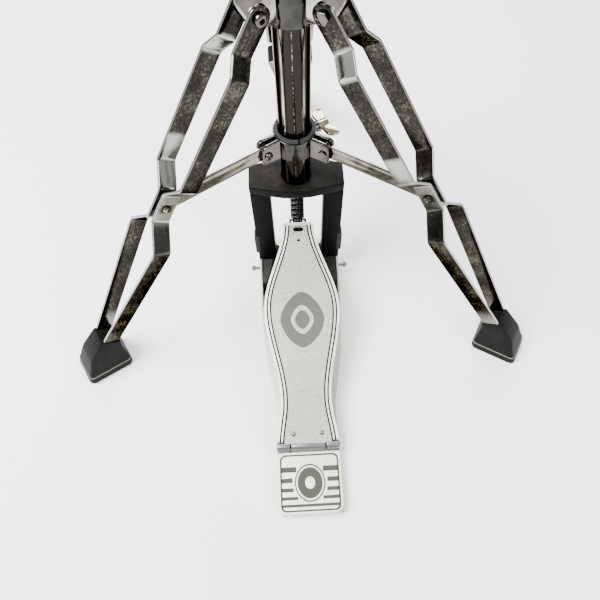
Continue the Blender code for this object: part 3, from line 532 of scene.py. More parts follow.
def repeatTree():
    # copies of a shape along a line, each turned a little more than the last
    tree = bpy.data.node_groups.new("repeatShape", "GeometryNodeTree")
    sockets = (("Shape", "Geometry"), ("Count", "Int"), ("Start", "Vector"), ("Step", "Vector"),
               ("Turn", "Vector"), ("Finish", "Material"))
    for label, kind in sockets:
        tree.interface.new_socket(label, in_out="INPUT", socket_type=f"NodeSocket{kind}")
    tree.interface.new_socket("Shape", in_out="OUTPUT", socket_type="NodeSocketGeometry")
    source = tree.nodes.new("NodeGroupInput").outputs
    line = tree.nodes.new("GeometryNodeMeshLine")
    index = tree.nodes.new("GeometryNodeInputIndex")
    turn = tree.nodes.new("ShaderNodeVectorMath")
    turn.operation = "SCALE"
    place = tree.nodes.new("GeometryNodeInstanceOnPoints")
    real = tree.nodes.new("GeometryNodeRealizeInstances")
    paint = tree.nodes.new("GeometryNodeSetMaterial")
    end = tree.nodes.new("NodeGroupOutput")
    links = (
        (source["Count"], line.inputs["Count"]),
        (source["Start"], line.inputs["Start Location"]),
        (source["Step"], line.inputs["Offset"]),
        (source["Turn"], turn.inputs["Vector"]),
        (index.outputs["Index"], turn.inputs["Scale"]),
        (line.outputs["Mesh"], place.inputs["Points"]),
        (source["Shape"], place.inputs["Instance"]),
        (turn.outputs["Vector"], place.inputs["Rotation"]),
        (place.outputs["Instances"], real.inputs["Geometry"]),
        (real.outputs["Geometry"], paint.inputs["Geometry"]),
        (source["Finish"], paint.inputs["Material"]),
        (paint.outputs["Geometry"], end.inputs["Shape"]),
    )
    for tail, head in links:
        tree.links.new(tail, head)
    return tree


repeater = repeatTree()


def repeated(data, look, count, start=(0, 0, 0), step=(0, 0, 0), turn=(0, 0, 0)):
    item = loose(data)
    nodes = item.modifiers.new("repeat", "NODES")
    nodes.node_group = repeater
    values = dict(Count=count, Start=start, Step=step, Turn=turn, Finish=look.material)
    for socket in repeater.interface.items_tree:
        if socket.in_out == "INPUT" and socket.name in values:
            nodes[socket.identifier] = values[socket.name]
    return evaluated(item)


# the tubes and what runs in them
tubeShells = (
    # name, CAD node, body, wall, rim, sides
    ("lowerTubeShell", "lower_tube", "stand_base", 0.0015, 0.0004, 128),
    ("upperTubeShell", "upper_tube", "upper_tube", 0.0012, 0.0003, 96),
)
rodShape = dict(radius=0.003, tip=0.0008)


def makeTubes():
    for name, node, body, wall, rim, sides in tubeShells:
        low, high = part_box(node)
        outer = (high[0] - low[0]) / 2
        profile = ringProfile(outer, outer - wall, low[2], high[2], rim)
        show(name, turned(profile, sides), body, tubeChrome, [node])
    low, high = levels("pull_rod")
    radius, tip = rodShape["radius"], rodShape["tip"]
    rod = [(0.0, high), (radius - tip, high), (radius, high - tip), (radius, low), (0.0, low)]
    show("pullRodBar", turned(rod, 48), "pull_rod", steel, ["pull_rod"])
    # the coil stands in the tube; it shortens as the rod comes down on the real stand, but here it is shown
    # once, unattached, with its placing baked in
    low, high = levels("return_spring")
    spring = show("returnSpring", cadShape("return_spring"), None, steel, ["return_spring"])
    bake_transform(spring)
    dress(steel, "spring_seat", "spring_pusher")
    dress(blackSteel, "hinge_pin")
    dress(nylon, "rod_guide_bush")


makeTubes()
print("tubes made")

# wing bolts: a turned hub and shank with two raked lobes
wingShape = dict(hub=0.0056, tip=0.0045, reach=0.012, shank=0.0030, lobeOut=0.0122, lobe=0.0068,
                 rake=0.25, thick=0.0016, lobeEdge=0.0011, lobeAt=0.006)


def wingBolt(name, node, joint, body, shankLength):
    spec = wingShape
    azimuth = math.atan2(joint["axis"][1], joint["axis"][0])
    hub, tip, reach, shank = (spec[key] for key in ("hub", "tip", "reach", "shank"))
    core = turned([
        (0.0, reach + 0.0006), (0.0030, reach + 0.0004), (tip, reach - 0.0006), (hub - 0.0003, 0.0040),
        (hub, 0.0028), (hub, 0.0006), (hub - 0.0006, 0.0), (shank, 0.0),
        (shank, -shankLength + 0.0004), (shank - 0.0004, -shankLength), (0.0, -shankLength)], 48)
    core = moved(core, Matrix.Rotation(math.radians(90), 4, "Y"))
    outline = arc((spec["lobeOut"], 0.0), spec["lobe"], -78, 98, 16) + [(0.0012, 0.0048), (0.0012, -0.0040)]
    outline = [(x, y + x * spec["rake"]) for x, y in outline]
    lay = Matrix(((0, 1, 0, spec["lobeAt"]), (1, 0, 0, 0), (0, 0, 1, 0), (0, 0, 0, 1)))
    lobes = []
    for turn in (0.0, math.pi):
        wing = slab(outline, -spec["thick"], spec["thick"], edge=spec["lobeEdge"])
        lobes.append(moved(wing, Matrix.Rotation(turn, 4, "X") @ lay))
    data = combine(core, lobes, "UNION")
    data.transform(Matrix.Translation(joint["pos_m"]) @ Matrix.Rotation(azimuth, 4, "Z"))
    show(name, data, body, warmPlate, [node])


for name, node, joint, body, shank in (
        ("lowerCollarWing", "lower_wing_bolt", "lower_wing_turn", "lower_wing", 0.0082),
        ("upperCollarWing", "upper_wing_bolt", "upper_wing_turn", "upper_wing", 0.0082),
        ("heightClampWing", "clamp_wing_bolt", "clamp_wing_turn", "clamp_wing", 0.0100),
        ("clutchWing", "clutch_wing_bolt", "clutch_wing_turn", "clutch_wing", 0.0040)):
    wingBolt(name, node, joints[joint], body, shank)
print("wing bolts made")

# tripod collars
knobAzimuth = math.atan2(joints["upper_wing_turn"]["axis"][1], joints["upper_wing_turn"]["axis"][0])
knobOut = Vector((math.cos(knobAzimuth), math.sin(knobAzimuth), 0.0))
legPivots = [Vector(joints[f"leg_{n}_swing"]["pos_m"]) for n in (1, 2, 3)]
bracePivots = [Vector(joints[f"brace_{n}_swing"]["pos_m"]) for n in (1, 2, 3)]
azimuths = [math.atan2(pivot.y, pivot.x) for pivot in legPivots]
outUp = Matrix(((1, 0, 0, 0), (0, 0, -1, 0), (0, 1, 0, 0), (0, 0, 0, 1)))
collarShape = dict(outer=0.0212, bore=0.0173, rim=0.0008, boss=0.0052, bossFrom=0.0185,
                   bossReach=0.0257, wingHole=0.0033, ring=0.0202, lip=0.0028, ringBore=0.0160,
                   slit=(0.0028, 0.0044))


def collar(name, node, body, outline, offsets, half, pivots, hole, lugLook):
    spec = collarShape
    low, high = levels(node)
    base = turned(ringProfile(spec["outer"], spec["bore"], low, high, spec["rim"]), 96)
    adds = []
    for azimuth in azimuths:
        for offset in offsets:
            lug = slab(outline, offset - half, offset + half, edge=0.0005)
            adds.append(moved(lug, Matrix.Rotation(azimuth, 4, "Z") @ outUp))
    lift = Vector((0.0, 0.0, (low + high) / 2))
    adds.append(bar(spec["boss"], knobOut * spec["bossFrom"] + lift, knobOut * spec["bossReach"] + lift))
    cuts = [bar(spec["wingHole"], knobOut * 0.012 + lift, knobOut * 0.03 + lift, 32)]
    for pivot, azimuth in zip(pivots, azimuths):
        side = Vector((-math.sin(azimuth), math.cos(azimuth), 0.0)) * 0.02
        cuts.append(bar(hole, pivot - side, pivot + side, 32))
    cuts.append(bar(spec["bore"], (0, 0, low - 0.01), (0, 0, high + 0.01), 96))
    shell = combine(combine(base, adds, "UNION"), cuts, "DIFFERENCE")
    # painted shade: the collar bodies take the darker copy of the chrome
    show(name, shell, body, collarChrome, [node],
         second=(lugLook, lambda face: face.center.xy.length > spec["outer"] + 0.001))


def collarBush(name, node, body, top):
    # the split ring: a sleeve in the bore with a lip over the collar
    spec = collarShape
    low = levels(node)[0]
    high = top + spec["lip"]
    inner, outer, rim = spec["ringBore"], spec["bore"] - gap, spec["rim"]
    profile = [(inner, high - rim), (inner + rim, high),
               *arc((spec["ring"] - rim, high - rim), rim, 90, 0, 4),
               (spec["ring"], top + gap), (outer, top + gap), (outer, low), (inner, low)]
    start, end = spec["slit"]
    slit = slab(roundedBox(start, -0.0255, end, -0.0120, 0.0003, 2), low - 0.01, high + 0.01)
    show(name, combine(turned(profile, 96), [slit], "DIFFERENCE"), body, nylon, [node])


earShape = dict(inner=0.0165, beyond=0.0062, corner=0.0015, offset=0.0044, half=0.0019, hole=0.0026)
lugShape = dict(inner=0.0165, neck=0.0235, round=0.0088, under=0.0042, over=0.0020, half=0.01025,
                hole=0.0030)


def makeLowerCollar():
    spec = earShape
    low, high = levels("lower_collar")
    beyond, corner = spec["beyond"], spec["corner"]
    tip = math.hypot(bracePivots[0].x, bracePivots[0].y) + beyond
    ear = ([(spec["inner"], low), *arc((tip - corner, low + corner), corner, -90, 0, 3)]
           + arc((tip - beyond, high - beyond), beyond, 0, 90, 8) + [(spec["inner"], high)])
    collar("lowerCollarShell", "lower_collar", "tripod_hub", ear, (-spec["offset"], spec["offset"]),
           spec["half"], bracePivots, spec["hole"], chrome)
    collarBush("lowerSlitRing", "lower_collar_bush", "tripod_hub", high)


def makeUpperCollar():
    spec = lugShape
    low, high = levels("upper_collar")
    inner, neck, under = spec["inner"], spec["neck"], spec["under"]
    reach = math.hypot(legPivots[0].x, legPivots[0].y)
    lug = ([(inner, low + under), (neck, low + under)]
           + arc((reach, legPivots[0].z), spec["round"], -78, 90, 18)
           + [(neck, high - under), (inner, high - spec["over"])])
    # painted highlight: the upper collar's lugs take the brighter copy of the chrome
    collar("upperCollarShell", "upper_collar", "tripod_slider", lug, (0.0,), spec["half"], legPivots,
           spec["hole"], brightChrome)
    collarBush("upperSlitRing", "upper_collar_bush", "tripod_slider", high)


makeLowerCollar()
makeUpperCollar()


boltShape = dict(head=0.0053, tall=0.0038, shank=0.0026, socket=0.0026, deep=0.0022, nut=0.0055,
                 nutThick=0.0034)
rivetShape = dict(head=0.0042, tall=0.0026, crown=0.0028, hollow=0.0014, shank=0.0022, back=0.0041)


def hexBolt(face):
    # a button head with a hexagon socket, a shank and a nut, along +Y from the middle
    spec = boltShape
    head, shank = spec["head"], spec["shank"]
    top = face + spec["tall"]
    back = -face - gap
    body = turned([(0.0, top), (head - 0.0013, top), (head - 0.0004, top - 0.0005), (head, top - 0.0014),
                   (head, face + gap), (shank, face + gap), (shank, back), (0.0, back)], 48)
    hexagon = bar(spec["socket"], (0, 0, top - spec["deep"]), (0, 0, top + 0.01), 6)
    data = combine(body, [hexagon], "DIFFERENCE")
    nut = slab([(x * spec["nut"], y * spec["nut"]) for x, y in arc((0, 0), 1.0, 0, 300, 5)],
               -face - spec["nutThick"], -face - gap * 0.5, edge=0.0004)
    return moved(combine(data, [nut], "UNION"), Matrix.Rotation(math.radians(-90), 4, "X"))


def bracePin(face):
    # a rolled-over hollow rivet, along +Y from the middle
    spec = rivetShape
    head, shank, back = spec["head"], spec["shank"], spec["back"]
    top = face + spec["tall"]
    half = [(0.0, face + 0.0008), (spec["hollow"], face + 0.0010), (0.0020, top - 0.0004),
            (spec["crown"], top), (0.0037, top - 0.0006), (head, face + 0.0012), (head, face + gap),
            (shank, face + gap)]
    tail = [(shank, -face - gap), (back, -face - gap), (back, -face - 0.0013),
            (back - 0.0007, -face - 0.0019), (0.0, -face - 0.0019)]
    return moved(turned(half + tail, 48), Matrix.Rotation(math.radians(-90), 4, "X"))


for number, pivot, azimuth in zip((1, 2, 3), bracePivots, azimuths):
    data = bracePin(earShape["offset"] + earShape["half"])
    data.transform(Matrix.Translation(pivot) @ Matrix.Rotation(azimuth, 4, "Z"))
    show(f"bracePin{number}", data, "tripod_hub", chrome, [f"brace_{number}_pin"])
print("collars made")

# legs: two bent strips, a rubber foot and a bolt
legShape = dict(lineFoot=0.2944, width=0.0185, thick=0.0025, brace=0.1847, buried=0.030,
                bend=0.0055, bendSteps=7, pinch=0.0041, edge=0.0007, rimBare=0.75, boltHole=0.0029,
                stud=0.0040, studTall=0.0029, capTurns=(4, 14, 26, 38, 50, 62, 74))
legRun = legShape["lineFoot"] - math.hypot(legPivots[0].x, legPivots[0].y)
legDrop = math.hypot(legRun, legPivots[0].z)
legTilt = math.atan2(legPivots[0].z, legRun)
stripEnd = legDrop - legShape["buried"]
stations = ((0.0, 0.0120), (0.0290, 0.0120), (0.0440, 0.0220), (0.1500, 0.0220), (0.1690, 0.0041),
            (0.2005, 0.0041), (0.2234, 0.0250), (stripEnd, 0.0062))


def bentPath(points, bend, steps):
    # the bar's middle line with round bends, from its top to its foot
    path = [Vector(points[0])]
    for before, here, after in zip(points, points[1:], points[2:]):
        corner = Vector(here)
        back = (Vector(before) - corner).normalized()
        ahead = (Vector(after) - corner).normalized()
        turn = math.pi - back.angle(ahead)
        centre = corner + (back + ahead).normalized() * bend / math.cos(turn / 2)
        start = corner + back * bend * math.tan(turn / 2) - centre
        finish = corner + ahead * bend * math.tan(turn / 2) - centre
        sweep = math.atan2(start.x * finish.y - start.y * finish.x, start.dot(finish))
        for step in range(steps + 1):
            path.append(centre + Matrix.Rotation(sweep * step / steps, 2) @ start)
    path.append(Vector(points[-1]))
    return path


# painted reflections: where the strips are painted bright, as place down the leg and how bright, for the
# outer strip (-1) and the inner strip (1)
glintStretches = {
    -1: ((0.0, 0.0), (0.026, 0.0), (0.029, 0.9), (0.044, 0.75), (0.047, 0.0), (0.122, 0.0),
         (0.124, 0.55), (0.150, 0.55), (0.152, 0.70), (0.169, 0.60), (0.200, 0.05), (0.204, 0.0),
         (0.346, 0.0), (0.360, 0.25), (0.375, 0.45)),
    1: ((0.0, 0.0), (0.164, 0.0), (0.170, 0.55), (0.200, 0.60), (0.204, 0.07), (0.222, 0.07),
        (0.226, 0.0), (0.352, 0.0), (0.372, 0.10)),
}


def glintAlong(side, along):
    stretches = glintStretches[side]
    for (start, low), (end, high) in zip(stretches, stretches[1:]):
        if along <= end:
            return low + (high - low) * max(0.0, (along - start) / (end - start))
    return stretches[-1][1]


def refined(path, step):
    # adds points so that no stretch is longer than the step
    points = [path[0]]
    for here in path[1:]:
        before = points[-1]
        count = max(1, math.ceil((here - before).length / step))
        points += [before.lerp(here, i / count) for i in range(1, count + 1)]
    return points


def stripMesh(side):
    # X down the leg, Y sideways, Z across the strip's width; the top end is round
    spec = legShape
    half, thick, edge = spec["width"] / 2, spec["thick"] / 2, spec["edge"]
    path = bentPath([(x, side * y) for x, y in stations], spec["bend"], spec["bendSteps"])
    cap = [Vector((-half * math.cos(math.radians(a)), path[0].y)) for a in spec["capTurns"]]
    path = cap + refined(path, 0.0025)
    work = bmesh.new()
    rings = []
    for index, point in enumerate(path):
        ahead = path[min(index + 1, len(path) - 1)]
        behind = path[max(index - 1, 0)]
        along = (ahead - behind).normalized()
        across = Vector((-along.y, along.x))
        wide = math.sqrt(max(half * half - point.x * point.x, 0.0)) if point.x < 0 else half
        section = roundedBox(-thick, -wide, thick, wide, min(edge, wide * 0.6), 3)
        rings.append([work.verts.new((point.x + across.x * a, point.y + across.y * a, b))
                      for a, b in section])
    lofted(work, rings)
    bare = work.verts.layers.float.new("bare")
    # painted highlight: the rims and the listed stretches get a brightness that stands for reflections
    for vert in work.verts:
        rim = abs(vert.co.z) > half - edge * 0.6
        vert[bare] = spec["rimBare"] if rim else glintAlong(side, vert.co.x)
    hole = bar(spec["boltHole"], (0.0, -0.05, 0.0), (0.0, 0.05, 0.0), 32)
    strip = combine(meshOf(work), [hole], "DIFFERENCE")
    # the stud's round head, where the brace meets the strip
    face, stud = spec["pinch"] + thick, spec["stud"]
    head = turned([(0.0, face + spec["studTall"]), (0.0022, face + 0.0028), (0.0034, face + 0.0020),
                   (stud, face + 0.0008), (stud, face - 0.0006), (0.0, face - 0.0006)], 40)
    turn = Matrix.Rotation(math.radians(-90 * side), 4, "X")
    return combine(strip, [moved(head, Matrix.Translation((spec["brace"], 0, 0)) @ turn)], "UNION")


# the rubber foot's level rings, from its sole upwards: height, middle out, half length out,
# half width, corner; its top ring lies square to the leg
footLevels = (
    (0.0000, 0.2750, 0.0252, 0.0182, 0.0050), (0.0010, 0.2750, 0.0266, 0.0196, 0.0060),
    (0.0030, 0.2749, 0.0273, 0.0203, 0.0060), (0.0060, 0.2744, 0.0270, 0.0200, 0.0058),
    (0.0110, 0.2732, 0.0262, 0.0193, 0.0050), (0.0119, 0.2730, 0.0263, 0.0194, 0.0050),
    (0.0126, 0.2728, 0.0254, 0.0186, 0.0044), (0.0240, 0.2702, 0.0226, 0.0164, 0.0030),
    (0.0330, 0.2681, 0.0204, 0.0147, 0.0024), (0.0400, 0.2660, 0.0186, 0.0134, 0.0020),
)
footTop = dict(along=0.3765, half=0.0118, wide=0.0124, corner=0.0022)
# the heights between which the foot's faces take the paler rubber: a thin band at its rim bead and the
# ledge above
paleBandLevels = (0.0112, 0.0124)


def footMesh(place):
    work = bmesh.new()
    rings = []
    for z, middle, long, wide, corner in footLevels:
        loop = roundedBox(middle - long, -wide, middle + long, wide, corner, 6)
        rings.append([work.verts.new((x, y, z)) for x, y in loop])
    half, wide, corner = footTop["half"], footTop["wide"], footTop["corner"]
    for inset, drop in ((0.0, 0.0012), (0.0004, 0.0003), (0.0012, 0.0)):
        loop = roundedBox(-half + inset, -wide + inset, half - inset, wide - inset, corner - inset, 6)
        rings.append([work.verts.new(place @ Vector((footTop["along"] + drop, y, x))) for x, y in loop])
    lofted(work, rings)
    foot = meshOf(work)
    # the pockets that the two strips sit in
    slope = (stations[-2][1] - stations[-1][1]) / (stations[-1][0] - stations[-2][0])
    half = legShape["width"] / 2 + gap
    thick = legShape["thick"] / 2 + gap
    pockets = []
    for side in (-1, 1):
        x0, x1 = stripEnd - 0.07, stripEnd + gap
        y0, y1 = (side * (stations[-1][1] + (stripEnd - x) * slope) for x in (x0, x1))
        outline = [(x0, y0 - thick), (x1, y1 - thick), (x1, y1 + thick), (x0, y0 + thick)]
        pockets.append(moved(slab(outline, -half, half), place))
    return combine(foot, pockets, "DIFFERENCE")


def makeLegs():
    spec = legShape
    reach = math.hypot(legPivots[0].x, legPivots[0].y)
    inPlane = Matrix.Translation((reach, 0.0, legPivots[0].z)) @ Matrix.Rotation(legTilt, 4, "Y")
    strips = {1: stripMesh(1), -1: stripMesh(-1)}
    foot = footMesh(inPlane)
    bolt = hexBolt(stations[0][1] + spec["thick"] / 2)
    for number, azimuth in zip((1, 2, 3), azimuths):
        body = f"leg_{number}"
        spin = Matrix.Rotation(azimuth, 4, "Z")
        for side, word in ((1, "front"), (-1, "back")):
            data = strips[side].copy()
            data.transform(spin @ inPlane)
            show(f"legStrip{number}{word.title()}", data, body, stripChrome,
                 [f"leg_{number}_{word}_strip"])
        data = foot.copy()
        data.transform(spin)
        show(f"rubberFoot{number}", data, body, rubber, [f"leg_{number}_foot"], sharp=24.0,
             second=(wornRubber, lambda face: paleBandLevels[0] < face.center.z < paleBandLevels[1]))
        data = bolt.copy()
        data.transform(spin @ inPlane)
        show(f"legBolt{number}", data, body, chrome, [f"leg_{number}_bolt"])


braceShape = dict(half=0.0070, thick=0.0020, hole=0.0026, edge=0.0007)


def makeBraces():
    spec = braceShape
    reach = math.hypot(bracePivots[0].x, bracePivots[0].y)
    meetOut = math.hypot(legPivots[0].x, legPivots[0].y) + legShape["brace"] * math.cos(legTilt)
    meetUp = legPivots[0].z - legShape["brace"] * math.sin(legTilt)
    run, rise = meetOut - reach, meetUp - bracePivots[0].z
    length = math.hypot(run, rise)
    holes = [arc((x, 0.0), spec["hole"], 0, 345, 23) for x in (0.0, length)]
    flat = slab(capsule(0.0, length, spec["half"]), -spec["thick"], spec["thick"], holes, edge=spec["edge"])
    start = Matrix.Translation((reach, 0.0, bracePivots[0].z))
    slope = Matrix.Rotation(math.atan2(-rise, run), 4, "Y")
    for number, azimuth in zip((1, 2, 3), azimuths):
        data = flat.copy()
        data.transform(Matrix.Rotation(azimuth, 4, "Z") @ start @ slope @ outUp)
        show(f"braceBar{number}", data, f"brace_{number}", braceChrome, [f"brace_{number}"])


makeLegs()
makeBraces()
print("legs made")

# floor plate, frame and casting: the CAD shapes with their edges rounded
softParts = (
    ("floorPlate", "base_plate", 0.0004, plateSilver, "silver"),
    ("yokeFrame", "yoke_frame", 0.0016, blackCast, "black_cast"),
    ("casting", "base_casting", 0.0012, blackCast, "black_cast"),
    ("footBlockLeft", "frame_foot_block_left", 0.0009, greyCast, "grey_cast"),
    ("footBlockRight", "frame_foot_block_right", 0.0009, greyCast, "grey_cast"),
)


padShape = dict(front=0.0012, back=0.0110, foot=0.040, top=0.073, corner=0.0015, sunk=0.0056,
                proud=0.0004, edge=0.0006)
stopShape = dict(outside=0.0075, inside=0.0010, deep=0.0075, corner=0.0010, high=0.009, edge=0.0005)
sideScrewShape = dict(head=0.0032, headLong=0.0045, tip=0.0024, shank=0.0019, ribs=15, rib=0.0004)


def postPad(side, word):
    spec = padShape
    low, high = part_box("yoke_frame")
    outline = roundedBox(low[1] - spec["front"], spec["foot"], low[1] + spec["back"], spec["top"],
                         spec["corner"], 4)
    pad = slab(outline, -spec["sunk"], spec["proud"], edge=spec["edge"])
    # the pad's X runs along Y and its Y runs up the post
    face = high[0] if side > 0 else low[0]
    stand = Matrix(((0, 0, side, face), (1, 0, 0, 0), (0, 1, 0, 0), (0, 0, 0, 1)))
    show(f"postPad{word}", moved(pad, stand), "stand_base", greyCast)


def frameStop(side, word):
    spec = stopShape
    low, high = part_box(f"frame_foot_block_{word.lower()}")
    left, right = (spec["outside"], spec["inside"])[::-side]
    outline = roundedBox(low[0] + left, low[1] - spec["deep"], high[0] - right, low[1] - gap,
                         spec["corner"], 3)
    stop = slab(outline, low[2], low[2] + spec["high"], edge=spec["edge"])
    show(f"frameStop{word}", stop, "stand_base", rubber)


def sideScrew(side, word):
    spec = sideScrewShape
    node = f"frame_side_screw_{word.lower()}"
    low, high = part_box(node)
    length = high[0] - low[0]
    neck = length - spec["headLong"]
    head, shank = spec["head"], spec["shank"]
    screw = turned([(0.0, length), (spec["tip"], length), (head, length - 0.0006), (head, neck),
                    (shank, neck - 0.0004), (shank, 0.0), (0.0, 0.0)], 60, spec["ribs"], spec["rib"])
    start = high[0] if side < 0 else low[0]
    place = Matrix.Translation((start, (low[1] + high[1]) / 2, (low[2] + high[2]) / 2))
    turn = Matrix.Rotation(math.radians(90 * side), 4, "Y")
    show(f"sideScrew{word}", moved(screw, place @ turn), "stand_base", steel, [node])


def makeFrame():
    for name, node, edge, look, slot in softParts:
        # painted light: the casting's upward faces take the lighter copy of its paint
        upward = (litTopCast, lambda face: face.normal.z > 0.8) if node == "base_casting" else None
        show(name, softened(cadShape(node), edge), "stand_base", look, [node], second=upward)
    for side, word in ((-1, "Left"), (1, "Right")):
        postPad(side, word)
        frameStop(side, word)
        sideScrew(side, word)
    dress(rubber, "base_rubber_mat")


makeFrame()
print("frame made")

# footboard and heel plate
pedalJoint = joints["pedal_press"]["pos_m"]
chainTop = Vector(joints["chain_swing"]["pos_m"])
board = dict(toeY=-0.012, toeZ=0.091, axisDrop=0.001, thick=0.0035, edge=0.0009,
             widths=((0.0, 0.0340), (0.2, 0.0280), (0.6, 0.0428), (1.0, 0.0177)),
             stripes=(0.0026, 0.0062), stripe=0.0018, print=0.00012, sunk=0.00002, toePin=0.0047,
             heelEnd=0.0055, printFrom=0.012, printTo=0.990)
slotShape = dict(half=0.0030, reach=0.0032, down=0.0078, hole=0.0019, holeDown=0.021)
emblemShape = dict(at=0.550, halfWide=0.0250, halfLong=0.0320, power=1.25, inner=0.52, core=0.34)
boardRun = board["toeY"] - pedalJoint[1]
boardRise = board["toeZ"] - pedalJoint[2] - board["axisDrop"]
boardLength = math.hypot(boardRun, boardRise)
boardPlace = Matrix.Translation(pedalJoint) @ Matrix.Rotation(math.atan2(boardRise, boardRun), 4, "X")


def halfWidth(share):
    for (start, low), (end, high) in zip(board["widths"], board["widths"][1:]):
        if share <= end:
            t = (share - start) / (end - start)
            return low + (high - low) * t * t * (3 - 2 * t)
    return board["widths"][-1][1]


def boardEdge(inset, first, last, steps):
    # points along the right-hand edge, moved in by the inset
    points = []
    for i in range(steps + 1):
        share = first + (last - first) * i / steps
        here = Vector((halfWidth(share), share * boardLength))
        ahead = Vector((halfWidth(min(share + 0.002, 1.0)), min(share + 0.002, 1.0) * boardLength))
        behind = Vector((halfWidth(share - 0.002), (share - 0.002) * boardLength))
        along = (ahead - behind).normalized()
        points.append(here + Vector((-along.y, along.x)) * inset)
    return [(p.x, p.y) for p in points]


def mirrored(points):
    return [(-x, y) for x, y in reversed(points)]


def ellipse(wide, long, middle, power=1.0):
    # a power over 1 draws the sides in, towards a lozenge
    turns = [2 * math.pi * i / 72 for i in range(72)]
    return [(wide * math.copysign(abs(math.cos(a)) ** power, math.cos(a)),
             middle + long * math.copysign(abs(math.sin(a)) ** power, math.sin(a))) for a in turns]


def makeFootboard():
    spec = board
    right = boardEdge(0.0, spec["heelEnd"] / boardLength, 1.0, 110)
    reach = slotShape["reach"]
    slot = capsule(-reach, reach, slotShape["half"], 10)
    slot = [(x, y + boardLength - slotShape["down"]) for x, y in slot]
    holes = [slot, arc((0.0, boardLength - slotShape["holeDown"]), slotShape["hole"], 0, 345, 23)]
    plate = slab(right + mirrored(right), 0.0, spec["thick"], holes, edge=spec["edge"])
    show("footboardPlate", moved(plate, boardPlace), "pedal", rimSilver, ["footboard"])
    top = spec["thick"] - spec["sunk"]
    first, last, lift = spec["printFrom"], spec["printTo"], top + spec["print"]
    within = boardEdge(spec["stripes"][1] + spec["stripe"] / 2, first, last, 110)
    field = slab(within + mirrored(within), top, top + spec["print"] / 2, holes)
    show("boardField", moved(field, boardPlace), "pedal", sanded)
    prints = []
    for inset in spec["stripes"]:
        outer = boardEdge(inset, first, last, 120)
        inner = boardEdge(inset + spec["stripe"], first, last, 120)
        band = outer + inner[::-1]
        prints += [slab(band, top, lift), slab(mirrored(band), top, lift)]
    show("boardPinstripes", moved(joined(*prints), boardPlace), "pedal", darkInk)
    spec = emblemShape
    middle = boardLength * spec["at"]
    lozenge = ellipse(spec["halfWide"], spec["halfLong"], middle, spec["power"])
    emblem = [slab(lozenge, top, lift, [shrunk(lozenge, middle, spec["inner"])]),
              slab(shrunk(lozenge, middle, spec["core"]), top, lift)]
    show("boardEmblem", moved(joined(*emblem), boardPlace), "pedal", ink)


hinge = dict(radius=0.0049, knuckle=0.0141, pin=0.0023, slip=0.0015, rivets=(-0.0155, 0.0155),
             rivetUp=0.0135, rivetHead=0.0026, rivetShank=0.0014, tongue=(0.0042, 0.0250), thick=0.0033)


def knuckleMesh(start, end):
    ring = turned(ringProfile(hinge["radius"], hinge["pin"], 0.0, end - start, 0.0005), 56)
    lay = Matrix.Translation((start, 0.0, 0.0)) @ Matrix.Rotation(math.radians(90), 4, "Y")
    return moved(ring, lay)


def makeHinge():
    spec = hinge
    low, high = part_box("heel_plate")
    middle = (high[0] - low[0]) / 2 - spec["knuckle"] - spec["slip"]
    start, end = spec["tongue"]
    tongue = slab(roundedBox(-middle, start, middle, end, 0.002, 4), -spec["thick"], -gap, edge=0.0004)
    bridge = slab([(-middle, 0.0015), (middle, 0.0015), (middle, 0.0060), (-middle, 0.0060)],
                  -spec["thick"], -gap)
    head, shank = spec["rivetHead"], spec["rivetShank"]
    rivets = []
    for x in spec["rivets"]:
        rivet = turned([(0.0, 0.0050), (0.0012, 0.0049), (0.0022, 0.0043), (head, 0.0036), (shank, 0.0034),
                        (shank, -0.0020), (0.0, -0.0020)], 32)
        rivets.append(moved(rivet, Matrix.Translation((x, spec["rivetUp"], 0.0))))
    barrel = combine(knuckleMesh(-middle, middle), [bridge, tongue], "UNION")
    show("boardKnuckle", moved(barrel, boardPlace), "pedal", barrelSteel, ["footboard_hinge_block"])
    show("boardRivets", moved(joined(*rivets), boardPlace), "pedal", steel)


heel = dict(top=0.0155, hingeRoom=0.0064, corner=0.0090, edge=0.0009, border=0.0024, line=0.0019,
            lineOut=0.0060, lineIn=0.0050, bars=5, firstBar=0.0112, barStep=0.0117, barThick=0.0056,
            stepShare=0.87, thickShare=0.85, badgeWide=0.0176, badgeLong=0.0212, badgeDown=0.0282,
            badgeRoom=0.0012, ring=(0.93, 0.85), disc=(0.76, 0.30))


def oblong(x0, y0, x1, y1):
    return [(x0, y0), (x1, y0), (x1, y1), (x0, y1)]


